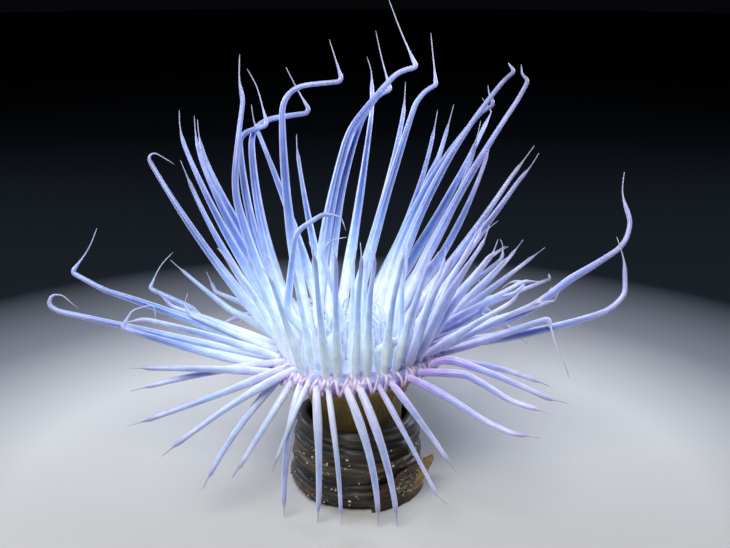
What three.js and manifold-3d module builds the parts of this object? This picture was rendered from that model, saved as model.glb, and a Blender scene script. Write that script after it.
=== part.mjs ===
// Tube-dwelling anemone, a life-size display model, in millimetres with +Z up.
// The front faces -Y. The origin is on the floor, at the middle of the upright tube.
//
// The animal stands in its own leathery tube: an upright mouth on a flat heel, with the rest
// of the tube laid along the floor behind it. The column fills the tube and opens above it
// into the oral disc. Around the disc stand 108 marginal tentacles in three rings, and around
// the mouth two rings of short labial ones.
import * as THREE from 'three';
import { mergeVertices } from 'three/addons/utils/BufferGeometryUtils.js';
import Module from 'manifold-3d';

const wasm = await Module();
wasm.setup();

// ---- Driving dimensions ----
const GAP = 0.3; // clearance between pieces that meet
const ROUND_SIDES = 18; // faces around the column and the tube

const RIM_HEIGHT = 70; // middle of the rim above the floor
const RIM_SLOPE = 0.1; // the crown leans: its +X side is the higher one
const RIM_OUTER = 42; // radii of the ring that carries the marginal tentacles
const RIM_INNER = 30.2;
const RIM_BOTTOM = 62; // height of the underside of the rim and the disc
const DISC_THICKNESS = 6.5;
const MOUTH_RADIUS = 5;

const COLUMN_RADIUS = 22; // the column where it leaves the tube
const COLUMN_FLARE_FOOT = 40; // height where the column starts to widen to the rim
const TUBE_HEIGHT = 38; // height of the tube's mouth
const TUBE_WALL = 4.6;
const TUBE_HEEL_RADIUS = 32; // the upright tube just above the floor
const TUBE_RUN_RADIUS = 18.5; // the lying tube at the heel and at its end
const TUBE_TAIL_RADIUS = 10;
const TUBE_LENGTH = 178; // reach of the lying tube behind the upright one
const TUBE_SWAY = 9; // how far the lying tube bends aside
const FLOOR_SINK = 0.6; // what the floor flattens off a lying round piece
const BORE_GAP = 0.5; // room between the column and its tube

// ---- Marginal tentacles ----
const SECTORS = 18; // strips of rim, six tentacles on each
const PER_SECTOR = 6;
const SECTOR_TURN = 360 / SECTORS;
const ROOT_TURNS = [3, 6, 8.8, 11.2, 14, 17]; // degrees into the sector
const ROOT_RINGS = [0, 2, 1]; // ring of each place in turn: outer, inner, middle
const ROOT_RADII = [40, 37, 33.5];
const ROOT_HEIGHTS = [67.5, 70.5, 71.5];
const ROOT_DEPTH = 2.2; // how deep a root starts inside the rim
const TENTACLE_RADIUS = 2.6; // before taper, of a tentacle of the length below
const USUAL_LENGTH = 150;
const ROOT_SHARE = 0.66; // of that radius at the root, where they crowd
const ROOT_RISE = 0.3; // place along the length where it is full
const WHIP_PLACE = 0.86; // where the thin end starts, unless a sharp kink starts it
const DIVIDED_LENGTH = 125; // longer tentacles have their outer length in a node of its own
const DIVISION = 0.55;
const WALK_STEPS = 160;
const FAN_HALF_WIDTH = 33; // of the roots that stand in the fan
const FAN_MIDDLE = 89; // heading of the fan's middle
const FAN_SPREAD = 26; // degrees from there to its sides
const SIGHT_PITCH = 22; // the front plane leans back by this, to face a viewer above the floor

// Tentacles with a pose of their own. Each row is the root's place (0 to 107, counted from +X
// over the back), the length, the heading in the front plane at the root and at the tip
// (0 is +X, 90 is up), the lean away from the viewer at the root and after it, and the
// bends: where along the length, how far the heading turns, and the share of length it takes.
const POSED = [
  // the tall fan, from its left edge to its right one
  [52, 132, 133, 119, 0, 6, [[0.90, -150, 0.07]]],
  [44, 151, 127, 112, 15, 20, [[0.90, -18, 0.20]]],
  [41, 154, 130, 109, 18, 25, [[0.85, -12, 0.30]]],
  [38, 158, 130, 112, 20, 28, [[0.88, -14, 0.25]]],
  [47, 114, 130, 113, 10, 14, []],
  [49, 150, 115, 98, 0, 4, [[0.53, -18, 0.20], [0.84, 20, 0.06], [0.91, -11, 0.06]]],
  [46, 156, 118, 84, 5, 9, [[0.70, -72, 0.08], [0.79, 88, 0.035], [0.93, 20, 0.12]]],
  [43, 170, 116, 80, 6, 10, [[0.665, -77, 0.15], [0.835, 112, 0.04]]],
  [40, 170, 104, 84, -3, 0, [[0.71, -82, 0.16], [0.872, 104, 0.035]]],
  [35, 138, 106, 114, 14, 20, [[0.92, -15, 0.10]]],
  [32, 117, 106, 98, 16, 24, [[0.93, -6, 0.10]]],
  [37, 199, 89, 59, 4, 9, [[0.53, -18, 0.12], [0.735, -32, 0.08], [0.785, 98, 0.02]]],
  [34, 174, 92, 60, 8, 13, [[0.66, -14, 0.12], [0.75, -26, 0.05], [0.79, 79, 0.02]]],
  [31, 161, 80, 84, 14, 20, [[0.80, 8, 0.20], [0.94, 14, 0.08]]],
  [28, 165, 76, 70, 4, 8, [[0.73, -20, 0.06], [0.78, -20, 0.05], [0.82, 64, 0.02]]],
  [29, 158, 72, 80, 18, 26, [[0.85, 6, 0.10]]],
  [25, 138, 61, 73, 15, 19, [[0.66, -8, 0.06], [0.74, 10, 0.06]]],
  [26, 141, 59, 80, 20, 24, []],
  [22, 145, 77, 44, 4, 10, [[0.87, -15, 0.06], [0.925, 85, 0.04], [0.965, -20, 0.03]]],
  [19, 153, 76, 48, 0, 5, [[0.92, -8, 0.05], [0.965, 82, 0.02]]],
  [20, 129, 50, 77, 13, 18, []],
  [23, 172, 56, 65, 22, 29, [[0.93, 52, 0.03]]],
  [16, 155, 66, 54, 3, 8, [[0.86, 6, 0.05], [0.935, 70, 0.03], [0.965, -38, 0.02]]],
  [17, 123, 51, 73, 14, 20, []],
  [13, 113, 50, 58, 2, 6, [[0.80, -4, 0.10]]],
  [14, 118, 47, 56, 8, 14, [[0.83, -6, 0.08], [0.92, 8, 0.06]]],
  // the right side, from the fan down to the floor
  [9, 78, 32, 52, 15, 25, []],
  [6, 76, 36, 37, 10, 16, []],
  [10, 65, 34, 40, 0, 4, [[0.85, 50, 0.10], [0.95, 20, 0.05]]],
  [8, 46, 34, 34, 9, 9, [[0.77, 72, 0.05], [0.90, -8, 0.10]]],
  [2, 58, 47, 44, 4, 8, []],
  [3, 62, 35, 24, -9, -9, [[0.38, 28, 0.06], [0.50, -50, 0.08], [0.68, 35, 0.10],
    [0.80, 140, 0.08], [0.90, 40, 0.10]]],
  [5, 69, 26, 20, 8, 10, [[0.96, 80, 0.03]]],
  [0, 140, 16, 44, 0, 6, [[0.35, 10, 0.15], [0.50, -12, 0.10], [0.74, 42, 0.14],
    [0.82, 26, 0.06], [0.92, -30, 0.12]]],
  [107, 66, 19, 18, 2, 4, [[0.92, 50, 0.05]]],
  [105, 118, 14, 40, -6, 0, [[0.12, -12, 0.10], [0.69, 28, 0.14], [0.77, 38, 0.06],
    [0.90, 14, 0.10]]],
  [102, 80, 17, 20, -8, -4, [[0.65, -95, 0.04], [0.85, 15, 0.20], [0.95, -25, 0.10]]],
  [96, 66, 22, 10, -14, -8, [[0.14, -38, 0.20], [0.86, 14, 0.10]]],
  [99, 54, 0, -25, -6, -2, []],
  [93, 64, 0, -14, -18, -12, [[0.35, -24, 0.12], [0.70, 18, 0.15]]],
  [90, 66, -24, -44, -28, -15, [[0.60, 14, 0.20], [0.80, 20, 0.15]]],
  // the front row, which hangs to the floor before the tube
  [87, 50, 308, 304, -40, 10, []],
  [84, 64, 299, 297, -40, 16, [[0.90, 24, 0.10]]],
  [81, 74, 295, 275, -40, 35, []],
  [78, 73, 295, 270, -40, 35, []],
  [75, 71, 280, 270, -40, 35, []],
  [72, 70, 275, 265, -40, 35, []],
  [71, 48, 245, 250, -50, 10, []],
  [69, 70, 255, 270, -40, 35, []],
  [66, 52, 240, 237, -38, 8, []],
  [63, 64, 226, 244, -38, 8, []],
  // the left side, from the floor up to the fan
  [65, 70, 207, 220, -38, -8, []],
  [62, 76, 203, 198, -32, -8, []],
  [59, 70, 186, 196, -25, -6, []],
  [60, 68, 176, 180, -30, -8, []],
  [57, 98, 170, 158, -18, -4, [[0.73, -100, 0.03], [0.82, -45, 0.06], [0.92, -95, 0.05]]],
  [54, 128, 166, 168, -10, 0, [[0.81, -20, 0.04], [0.85, -75, 0.04], [0.885, -75, 0.04],
    [0.92, -38, 0.04]]],
  [51, 130, 156, 166, -6, 2, [[0.68, -12, 0.10], [0.815, -98, 0.03], [0.92, 16, 0.12]]],
  [48, 92, 160, 158, -2, 4, [[0.42, -26, 0.06], [0.52, 22, 0.06], [0.77, -86, 0.03],
    [0.90, -22, 0.15]]],
  [45, 74, 148, 141, 2, 10, [[0.30, 8, 0.15], [0.45, -10, 0.10]]],
  [42, 60, 146, 142, 5, 14, [[0.55, 14, 0.10], [0.80, -40, 0.06]]],
  [53, 57, 158, 157, -4, 0, [[0.79, -30, 0.04], [0.90, -52, 0.05]]],
  // short ones that stand close before the fan, or beside it
  [11, 70, 54, 52, 8, 14, [[0.86, -14, 0.12]]],
  [7, 62, 58, 54, -4, 2, [[0.86, 16, 0.12]]],
  [4, 60, 48, 50, 4, 8, [[0.80, -20, 0.16]]],
  [1, 62, 30, 28, -14, -10, [[0.84, -30, 0.10]]],
  [106, 58, 56, 50, -24, -14, [[0.86, 20, 0.10]]],
  [104, 62, 22, 22, -28, -18, [[0.84, 30, 0.12]]],
  [103, 60, 60, 50, -30, -18, [[0.86, -20, 0.12]]],
  [101, 64, 24, 28, -38, -24, [[0.86, -24, 0.12]]],
  [98, 60, 36, 30, -44, -28, [[0.84, 26, 0.12]]],
  [89, 68, 78, 70, -52, -36, [[0.86, -16, 0.12]]],
  [88, 54, 82, 76, -12, 0, [[0.86, 16, 0.12]]],
  [70, 56, 98, 102, -40, -30, [[0.86, -14, 0.12]]],
  [64, 58, 102, 106, -20, -6, [[0.86, 18, 0.12]]],
  [61, 60, 108, 116, -32, -20, [[0.86, -12, 0.12]]],
  [56, 78, 160, 168, -30, -16, [[0.84, 24, 0.12]]],
  [50, 70, 158, 162, 0, 4, [[0.82, -26, 0.10]]],
  // inner front ones that curl up over the disc
  [67, 94, 86, 80, -24, -10, [[0.18, 50, 0.08], [0.32, -50, 0.10], [0.70, -50, 0.12],
    [0.85, -40, 0.06], [0.93, -62, 0.06]]],
  [76, 71, 98, 110, -24, -8, [[0.22, -60, 0.06], [0.33, 62, 0.06], [0.80, -52, 0.08],
    [0.90, -50, 0.06]]],
  [85, 62, 92, 84, -43, -12, [[0.16, -62, 0.06], [0.36, 64, 0.08], [0.90, -16, 0.10]]],
];

// ---- Labial tentacles ----
const LABIAL_GROUPS = 4;
const LABIALS_PER_GROUP = 7;
const LABIAL_RADII = [15.6, 12.4]; // outer and inner ring
const LABIAL_LENGTH = 27;
const LABIAL_THICKNESS = 0.95;
const LABIAL_STRIP = { inner: 10.6, outer: 17.4, height: 1.6 };

// ---- Materials: colour, roughness ----
const finish = (color, roughness) =>
  new THREE.MeshStandardMaterial({ color, roughness, metalness: 0 });
const TENTACLE = finish(0xa9b6ec, 0.35);
const DISC = finish(0x8c78c4, 0.4);
const COLUMN = finish(0x8a7c52, 0.5);
const TUBE = finish(0x4a4335, 0.8);
const FLAP = finish(0xb0803a, 0.6);

const model = new THREE.Group();

// ---- Small helpers ----
const radians = (degrees) => (degrees * Math.PI) / 180;
const clamp01 = (value) => Math.min(1, Math.max(0, value));
const smooth = (value) => clamp01(value) ** 2 * (3 - 2 * clamp01(value));
const mix = (from, to, share) => from + (to - from) * share;
// An even scatter from -1 to 1, the same on every run.
const scatter = (place, kind) => ((place * 167 + kind * 59) % 101) / 50 - 1;

// A geometry with merged corners and its faces outwards, as a solid that can be joined and cut.
function solidOf(geometry) {
  const bare = geometry.clone();
  bare.deleteAttribute('normal');
  bare.deleteAttribute('uv');
  const merged = mergeVertices(bare, 1e-4);
  const corners = merged.attributes.position;
  const index = merged.index.array;
  const corner = (k) => new THREE.Vector3().fromBufferAttribute(corners, k);
  const faces = [];
  let volume = 0;
  for (let i = 0; i < index.length; i += 3) {
    const [a, b, c] = [index[i], index[i + 1], index[i + 2]];
    if (a === b || b === c || c === a) continue;
    faces.push([a, b, c]);
    volume += corner(a).dot(corner(b).cross(corner(c)));
  }
  const outward = volume > 0 ? faces : faces.map(([a, b, c]) => [a, c, b]);
  return new wasm.Manifold(
    new wasm.Mesh({
      numProp: 3,
      vertProperties: new Float32Array(corners.array),
      triVerts: new Uint32Array(outward.flat()),
    }),
  );
}

function addNode(name, solid, material) {
  const { vertProperties, triVerts } = solid.getMesh();
  const geometry = new THREE.BufferGeometry();
  const corners = new THREE.BufferAttribute(new Float32Array(vertProperties), 3);
  geometry.setAttribute('position', corners);
  geometry.setIndex(new THREE.BufferAttribute(new Uint32Array(triVerts), 1));
  geometry.computeVertexNormals();
  const mesh = new THREE.Mesh(geometry, material);
  mesh.name = name;
  model.add(mesh);
}

// A closed skin over rings of equal count, with a flat fan at each end.
function loft(rings) {
  const count = rings[0].length;
  const positions = rings.flat().flatMap(({ x, y, z }) => [x, y, z]);
  const index = [];
  for (let ring = 0; ring + 1 < rings.length; ring++) {
    for (let k = 0; k < count; k++) {
      const a = ring * count + k;
      const b = ring * count + ((k + 1) % count);
      index.push(a, b, b + count, a, b + count, a + count);
    }
  }
  const last = (rings.length - 1) * count;
  for (let k = 1; k + 1 < count; k++) {
    index.push(0, k + 1, k, last, last + k, last + k + 1);
  }
  const geometry = new THREE.BufferGeometry();
  geometry.setAttribute('position', new THREE.Float32BufferAttribute(positions, 3));
  geometry.setIndex(index);
  return geometry;
}

// A profile of [radius, height] pairs, from the axis back to the axis, turned about Z.
function turned(profile, sides = ROUND_SIDES) {
  const lathe = new THREE.LatheGeometry(profile.map(([r, z]) => new THREE.Vector2(r, z)), sides);
  return solidOf(lathe.rotateX(Math.PI / 2));
}

function block(x0, x1, y0, y1, z0, z1) {
  const box = new THREE.BoxGeometry(x1 - x0, y1 - y0, z1 - z0);
  return solidOf(box.translate((x0 + x1) / 2, (y0 + y1) / 2, (z0 + z1) / 2));
}

const FAR = 400;
const underFloor = block(-FAR, FAR, -FAR, FAR, -FAR, 0);
const behind = (y) => block(-FAR, FAR, y, FAR, -FAR, FAR);

// The crown's lean, which grows from nothing at the foot of the column's flare.
function leanedHeight(x, z) {
  return z + RIM_SLOPE * x * smooth((z - COLUMN_FLARE_FOOT) / 20);
}

const leaned = (solid) =>
  solid.warp((point) => {
    point[2] = leanedHeight(point[0], point[2]);
  });

// ---- Column and its tube ----
const runShare = (y) => clamp01((y - TUBE_HEEL_RADIUS) / (TUBE_LENGTH - TUBE_HEEL_RADIUS));
const runRadius = (y) => mix(TUBE_RUN_RADIUS, TUBE_TAIL_RADIUS, runShare(y) ** 1.3);
const runSway = (y) => TUBE_SWAY * Math.sin((Math.PI * clamp01(y / TUBE_LENGTH)) ** 1.4);

// A lying length from one y to another: round rings on the floor, closed to a blunt end.
function lying(from, to, inset, rings, sides) {
  const steps = Array.from({ length: rings }, (_, k) => k / (rings - 1));
  return solidOf(
    loft(
      steps.map((step) => {
        const y = mix(from, to, 1 - (1 - step) ** 1.5);
        const intoEnd = clamp01((y - to + runRadius(to)) / runRadius(to));
        const radius = (runRadius(y) - inset) * Math.sqrt(Math.max(0.02, 1 - intoEnd ** 2));
        return Array.from({ length: sides }, (_, k) => {
          const turn = (2 * Math.PI * k) / sides;
          return new THREE.Vector3(
            runSway(y) + radius * Math.sin(turn),
            y,
            runRadius(y) - FLOOR_SINK + radius * Math.cos(turn),
          );
        });
      }),
    ),
  );
}

const COLUMN_END = TUBE_LENGTH - 22;
const TRUNK_END = 32;
const UPRIGHT_END = 37;
const RUN_END = 106;
const TRUNK_FLOOR = TUBE_WALL + 2;
const trunkTop = TUBE_HEIGHT - 1;

function columnBody(swell) {
  const radius = COLUMN_RADIUS - 0.6 + swell;
  const foot = TRUNK_FLOOR - swell;
  const upright = turned([
    [0, foot], [radius * 0.6, foot], [radius * 0.9, foot + 3], [radius, foot + 8],
    [radius, trunkTop], [0, trunkTop],
  ]);
  return upright.add(lying(8, COLUMN_END + swell, TUBE_WALL - swell, 7, 12));
}

function buildColumn() {
  const body = columnBody(0);
  addNode('column_trunk', body.subtract(behind(TRUNK_END)), COLUMN);
  addNode('column_foot', body.intersect(behind(TRUNK_END + GAP)), COLUMN);
  const neck = turned([
    [0, trunkTop + GAP], [COLUMN_RADIUS - 0.6, trunkTop + GAP],
    [COLUMN_RADIUS, COLUMN_FLARE_FOOT + 3], [COLUMN_RADIUS + 1.2, 48], [26, 53],
    [30, 57.5], [34, 60.5], [34, RIM_BOTTOM - 0.4], [0, RIM_BOTTOM - 0.4],
  ]);
  addNode('column_neck', leaned(neck), COLUMN);
}

function buildTube() {
  const heel = turned([
    [0, 0], [24, 0], [30, 1.6], [TUBE_HEEL_RADIUS, 7], [30.9, 13.5], [31.2, 17],
    [29.8, 22], [30, 25.5], [28.8, 30.5], [28.8, 34], [27, TUBE_HEIGHT], [0, TUBE_HEIGHT],
  ]);
  const lip = turned([
    [0, trunkTop - 1], [COLUMN_RADIUS + 0.5, trunkTop - 1],
    [COLUMN_RADIUS + 1.6, TUBE_HEIGHT + 1], [0, TUBE_HEIGHT + 1],
  ]);
  const whole = heel
    .add(lying(12, TUBE_LENGTH, 0, 9, 16))
    .subtract(underFloor)
    .subtract(columnBody(BORE_GAP))
    .subtract(lip);
  addNode('tube_upright', whole.subtract(behind(UPRIGHT_END)), TUBE);
  addNode('tube_run', whole.intersect(behind(UPRIGHT_END + GAP)).subtract(behind(RUN_END)), TUBE);
  addNode('tube_tail', whole.intersect(behind(RUN_END + GAP)), TUBE);
}

// A torn outer layer of the tube that stands off its right front side: a curved leaf between
// two bearings, which leans outwards as it rises and is highest in the middle.
function buildFlap() {
  const fromBearing = -78;
  const toBearing = -8;
  const height = 26;
  const leafThickness = 1.4;
  const lean = 8;
  const across = 6;
  const up = 3;
  const rings = [];
  for (let k = 0; k <= across; k++) {
    const share = k / across;
    const bearing = radians(mix(fromBearing, toBearing, share));
    const arch = Math.sin(Math.PI * mix(0.06, 0.94, share)) ** 0.6;
    const wall = [];
    for (let j = 0; j <= up; j++) wall.push([j / up, 0]);
    for (let j = up; j >= 0; j--) wall.push([j / up, leafThickness]);
    rings.push(
      wall.map(([rise, out]) => {
        const radius = TUBE_HEEL_RADIUS + GAP + 0.3 + out + lean * arch * rise ** 1.4;
        return new THREE.Vector3(
          radius * Math.cos(bearing),
          radius * Math.sin(bearing),
          height * arch * rise,
        );
      }),
    );
  }
  addNode('tube_flap', solidOf(loft(rings)), FLAP);
}

// ---- Disc ----
function buildDisc() {
  const top = RIM_BOTTOM + DISC_THICKNESS;
  const edge = RIM_INNER - GAP;
  const disc = turned([
    [0, RIM_BOTTOM], [edge, RIM_BOTTOM], [edge, top + 1.6], [26, top + 0.6], [19, top],
    [MOUTH_RADIUS + 5, top + 0.2], [MOUTH_RADIUS + 1.4, top + 1], [MOUTH_RADIUS, top - 0.4],
    [MOUTH_RADIUS * 0.6, top - 3.4], [0, top - 4.2],
  ]);
  addNode('oral_disc', leaned(disc), DISC);
}

// ---- Strips of a ring ----
// A section of [radius, height] corners carried round Z between two bearings.
function strip(section, fromBearing, toBearing, steps) {
  const rings = [];
  for (let k = 0; k <= steps; k++) {
    const bearing = radians(mix(fromBearing, toBearing, k / steps));
    rings.push(
      section.map(([r, z]) => {
        const x = r * Math.cos(bearing);
        return new THREE.Vector3(x, r * Math.sin(bearing), leanedHeight(x, z));
      }),
    );
  }
  return solidOf(loft(rings));
}

// ---- Paths ----
const sight = radians(SIGHT_PITCH);
const SIGHT_UP = new THREE.Vector3(0, Math.sin(sight), Math.cos(sight));
const SIGHT_AWAY = new THREE.Vector3(0, Math.cos(sight), -Math.sin(sight));

function direction(headingDegrees, leanDegrees) {
  const heading = radians(headingDegrees);
  const lean = radians(leanDegrees);
  return new THREE.Vector3(Math.cos(lean) * Math.cos(heading), 0, 0)
    .addScaledVector(SIGHT_UP, Math.cos(lean) * Math.sin(heading))
    .addScaledVector(SIGHT_AWAY, Math.sin(lean));
}

// Heading and lean of a direction given by its bearing and its rise above the floor.
function aim(bearingDegrees, riseDegrees) {
  const bearing = radians(bearingDegrees);
  const rise = radians(riseDegrees);
  const level = Math.cos(rise);
  const along = new THREE.Vector3(
    level * Math.cos(bearing), level * Math.sin(bearing), Math.sin(rise),
  );
  const heading = (Math.atan2(along.dot(SIGHT_UP), along.x) * 180) / Math.PI;
  return [(heading + 360) % 360, (Math.asin(along.dot(SIGHT_AWAY)) * 180) / Math.PI];
}

const rootRing = (place) => ROOT_RINGS[place % 3];

function rootBearing(place) {
  return SECTOR_TURN * Math.floor(place / PER_SECTOR) + ROOT_TURNS[place % PER_SECTOR];
}

function rootPoint(place) {
  const bearing = radians(rootBearing(place));
  const ring = rootRing(place);
  const x = ROOT_RADII[ring] * Math.cos(bearing);
  return new THREE.Vector3(x, ROOT_RADII[ring] * Math.sin(bearing), ROOT_HEIGHTS[ring] + RIM_SLOPE * x);
}

// The usual habit of a root's place. The outer ring, which is left free only at the back,
// arches over and sinks. The other two stand in the fan, which opens the more the farther a
// root is to one side, and the middle ring leans out to the front.
function habit(place) {
  const bearing = rootBearing(place);
  if (rootRing(place) === 0) {
    const length = 100 + 10 * scatter(place, 1);
    const start = aim(bearing, 14 + 5 * scatter(place, 2));
    const end = aim(bearing + 8 * scatter(place, 3), -46 + 6 * scatter(place, 4));
    const turn = ((end[0] - start[0] + 540) % 360) - 180;
    const bend = [0.8, 12 * scatter(place, 5), 0.2];
    return [place, length, start[0], start[0] + turn, start[1], end[1], [bend]];
  }
  const inner = rootRing(place) === 2;
  const side = rootPoint(place).x / FAN_HALF_WIDTH;
  const heading = FAN_MIDDLE - FAN_SPREAD * side * Math.abs(side) ** 0.6;
  const opening = (heading - 90) * 0.35;
  const length = (inner ? 60 : 66) + 6 * scatter(place, 1);
  const lean = (inner ? -26 : -48) + 4 * scatter(place, 2);
  const bends = [[0.62, 8 * scatter(place, 5), 0.3], [0.88, 22 * scatter(place, 6), 0.16]];
  const from = heading + 1.5 * scatter(place, 3);
  return [place, length, from, heading + opening, lean, lean + 14, bends];
}

const posedRows = new Map(POSED.map((row) => [row[0], row]));

function tentacle(place) {
  const [, length, from, to, leanFrom, leanTo, bends] = posedRows.get(place) ?? habit(place);
  const kink = bends.find(([, turn, over]) => over <= 0.05 && Math.abs(turn) >= 60);
  const points = [rootPoint(place)];
  for (let step = 0; step < WALK_STEPS; step++) {
    const share = (step + 0.5) / WALK_STEPS;
    let heading = mix(from, to, share);
    for (const [at, turn, over] of bends) heading += turn * smooth((share - at) / over + 0.5);
    const lean = mix(leanTo, leanFrom, (1 - share) ** 3);
    points.push(points.at(-1).clone().addScaledVector(direction(heading, lean), length / WALK_STEPS));
  }
  return { place, length, points, whip: kink ? kink[0] : WHIP_PLACE, posed: posedRows.has(place) };
}

// Radius along a tentacle: drawn in at the root, then an even taper, and a thin whip at the end.
function thickness({ length, whip }, share) {
  return (
    TENTACLE_RADIUS * (length / USUAL_LENGTH) ** 0.35 *
    mix(ROOT_SHARE, 1, smooth(share / ROOT_RISE)) * (1 - 0.5 * share) *
    (1 - 0.48 * smooth((share - whip) / 0.06)) *
    (1 - 0.35 * clamp01((share - whip) / (1 - whip)))
  );
}

// Places along a walked path, close together where it turns, between two shares of its length.
function stations(points, from, to, detail) {
  const last = points.length - 1;
  const [first, end] = [Math.round(from * last), Math.round(to * last)];
  const measure = [0];
  for (let k = first + 1; k <= end; k++) {
    const before = points[k].clone().sub(points[k - 1]);
    const after = points[Math.min(last, k + 1)].clone().sub(points[Math.min(last, k + 1) - 1]);
    const turnSteps = (before.angleTo(after) * 180) / Math.PI / DEGREES_PER_STEP;
    measure.push(measure.at(-1) + detail * (STRAIGHT_STEPS / last + turnSteps));
  }
  const count = Math.max(2, Math.round(measure.at(-1)));
  const places = [];
  for (let k = 0; k <= count; k++) {
    const wanted = (measure.at(-1) * k) / count;
    places.push(first + measure.findIndex((value) => value >= wanted - 1e-9));
  }
  return [...new Set(places)];
}

// A tapering tube of flat faces along a path, with its sections turned as little as can be.
function taper(points, places, radiusAt, sides, startBack = 0) {
  const last = points.length - 1;
  const tangent = (k) => {
    const ahead = points[Math.min(last, k + 1)].clone();
    return ahead.sub(points[Math.max(0, k - 1)]).normalize();
  };
  const fuller = (Math.PI / sides / Math.sin(Math.PI / sides)) ** 1.5; // as thick as a round one
  let across = new THREE.Vector3(0.3, 1, 0.2).cross(tangent(places[0])).normalize();
  const rings = places.map((k, nth) => {
    const along = tangent(k);
    across = across.clone().addScaledVector(along, -across.dot(along)).normalize();
    const other = along.clone().cross(across);
    const centre = points[k].clone();
    if (nth === 0) centre.addScaledVector(along, -startBack);
    const radius = radiusAt(k / last) * fuller;
    return Array.from({ length: sides }, (_, side) => {
      const turn = (2 * Math.PI * side) / sides;
      return centre
        .clone()
        .addScaledVector(across, radius * Math.cos(turn))
        .addScaledVector(other, radius * Math.sin(turn));
    });
  });
  return solidOf(loft(rings));
}

// ---- Marginal tentacles, by sector ----
const RIM_SECTION = [
  [RIM_INNER, RIM_BOTTOM], [35.5, RIM_BOTTOM], [41, RIM_HEIGHT - 5.4],
  [RIM_OUTER, RIM_HEIGHT - 2.2], [38.4, RIM_HEIGHT + 1.2], [RIM_INNER, RIM_HEIGHT + 1.4],
];
const STRAIGHT_STEPS = 2.2; // facets along a straight posed tentacle
const DEGREES_PER_STEP = 37; // one more facet for each such turn
const PLAIN_SHARE = 0.6; // of that detail on a tentacle with the usual habit
const TENTACLE_SIDES = 4;

// What a sector's roots may not reach into: the rim beyond one of its ends.
function beyond(bearing, side) {
  const reach = 6;
  const [near, far] = side > 0 ? [-GAP / 2, reach] : [-reach, GAP / 2];
  const box = new THREE.BoxGeometry(RIM_OUTER - RIM_INNER + 3, far - near, 16);
  box.translate((RIM_OUTER + RIM_INNER) / 2, (near + far) / 2, RIM_HEIGHT - 4);
  return solidOf(box.rotateZ(radians(bearing)));
}

function buildSector(sector) {
  const margin = (GAP / 2 / ROOT_RADII[0]) * (180 / Math.PI);
  const fromBearing = sector * SECTOR_TURN + margin;
  let solid = strip(RIM_SECTION, fromBearing, fromBearing + SECTOR_TURN - 2 * margin, 2);
  for (let nth = 0; nth < PER_SECTOR; nth++) {
    const arm = tentacle(sector * PER_SECTOR + nth);
    const divided = arm.length >= DIVIDED_LENGTH;
    const radiusAt = (share) => thickness(arm, share);
    const detail = arm.posed ? 1 : PLAIN_SHARE;
    const inner = stations(arm.points, 0, divided ? DIVISION : 1, detail);
    solid = solid.add(taper(arm.points, inner, radiusAt, TENTACLE_SIDES, ROOT_DEPTH));
    if (divided) {
      const gapShare = GAP / arm.length;
      const outerFrom = DIVISION + gapShare + 0.5 / WALK_STEPS;
      const outer = stations(arm.points, outerFrom, 1, detail);
      const end = taper(arm.points, outer, radiusAt, TENTACLE_SIDES);
      addNode(`tentacle_${String(arm.place).padStart(3, '0')}_end`, end, TENTACLE);
    }
  }
  solid = solid
    .subtract(beyond(sector * SECTOR_TURN, -1))
    .subtract(beyond((sector + 1) * SECTOR_TURN, 1))
    .subtract(underFloor);
  addNode(`crown_${String(sector + 1).padStart(2, '0')}`, solid, TENTACLE);
}

// ---- Labial tentacles, by quarter ----
function labialPoints(bearing, radius, height, place) {
  const steps = 12;
  const curl = 1 + 0.25 * scatter(place, 7);
  const points = [];
  for (let k = 0; k <= steps; k++) {
    const share = k / steps;
    const rise = LABIAL_LENGTH * curl * (share - 0.28 * share ** 2);
    const out = LABIAL_LENGTH * (0.42 * share - 0.62 * share ** 2) * (place % 2 ? 1 : -0.6);
    const sway = radians(bearing + 10 * scatter(place, 8) * share);
    const r = radius + out;
    points.push(new THREE.Vector3(r * Math.cos(sway), r * Math.sin(sway), height + rise));
  }
  return points;
}

function buildLabials() {
  const base = RIM_BOTTOM + DISC_THICKNESS + GAP + 0.2;
  const { inner, outer, height } = LABIAL_STRIP;
  const section = [[inner, base], [outer, base], [outer, base + height], [inner, base + height]];
  const quarter = 360 / LABIAL_GROUPS;
  const margin = 1;
  for (let group = 0; group < LABIAL_GROUPS; group++) {
    let solid = strip(section, group * quarter + margin, (group + 1) * quarter - margin, 4);
    for (let nth = 0; nth < LABIALS_PER_GROUP; nth++) {
      const place = group * LABIALS_PER_GROUP + nth;
      const bearing = group * quarter + ((nth + 0.5) * quarter) / LABIALS_PER_GROUP;
      const radius = LABIAL_RADII[nth % 2];
      const height0 = leanedHeight(radius * Math.cos(radians(bearing)), base + 0.6);
      const points = labialPoints(bearing, radius, height0, place);
      const radiusAt = (share) => LABIAL_THICKNESS * (1 - 0.6 * share);
      solid = solid.add(taper(points, [0, 6, 12], radiusAt, 3));
    }
    addNode(`labials_${group + 1}`, solid, DISC);
  }
}

buildTube();
buildFlap();
buildColumn();
buildDisc();
buildLabials();
for (let sector = 0; sector < SECTORS; sector++) buildSector(sector);

export default model;
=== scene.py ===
import math

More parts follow.
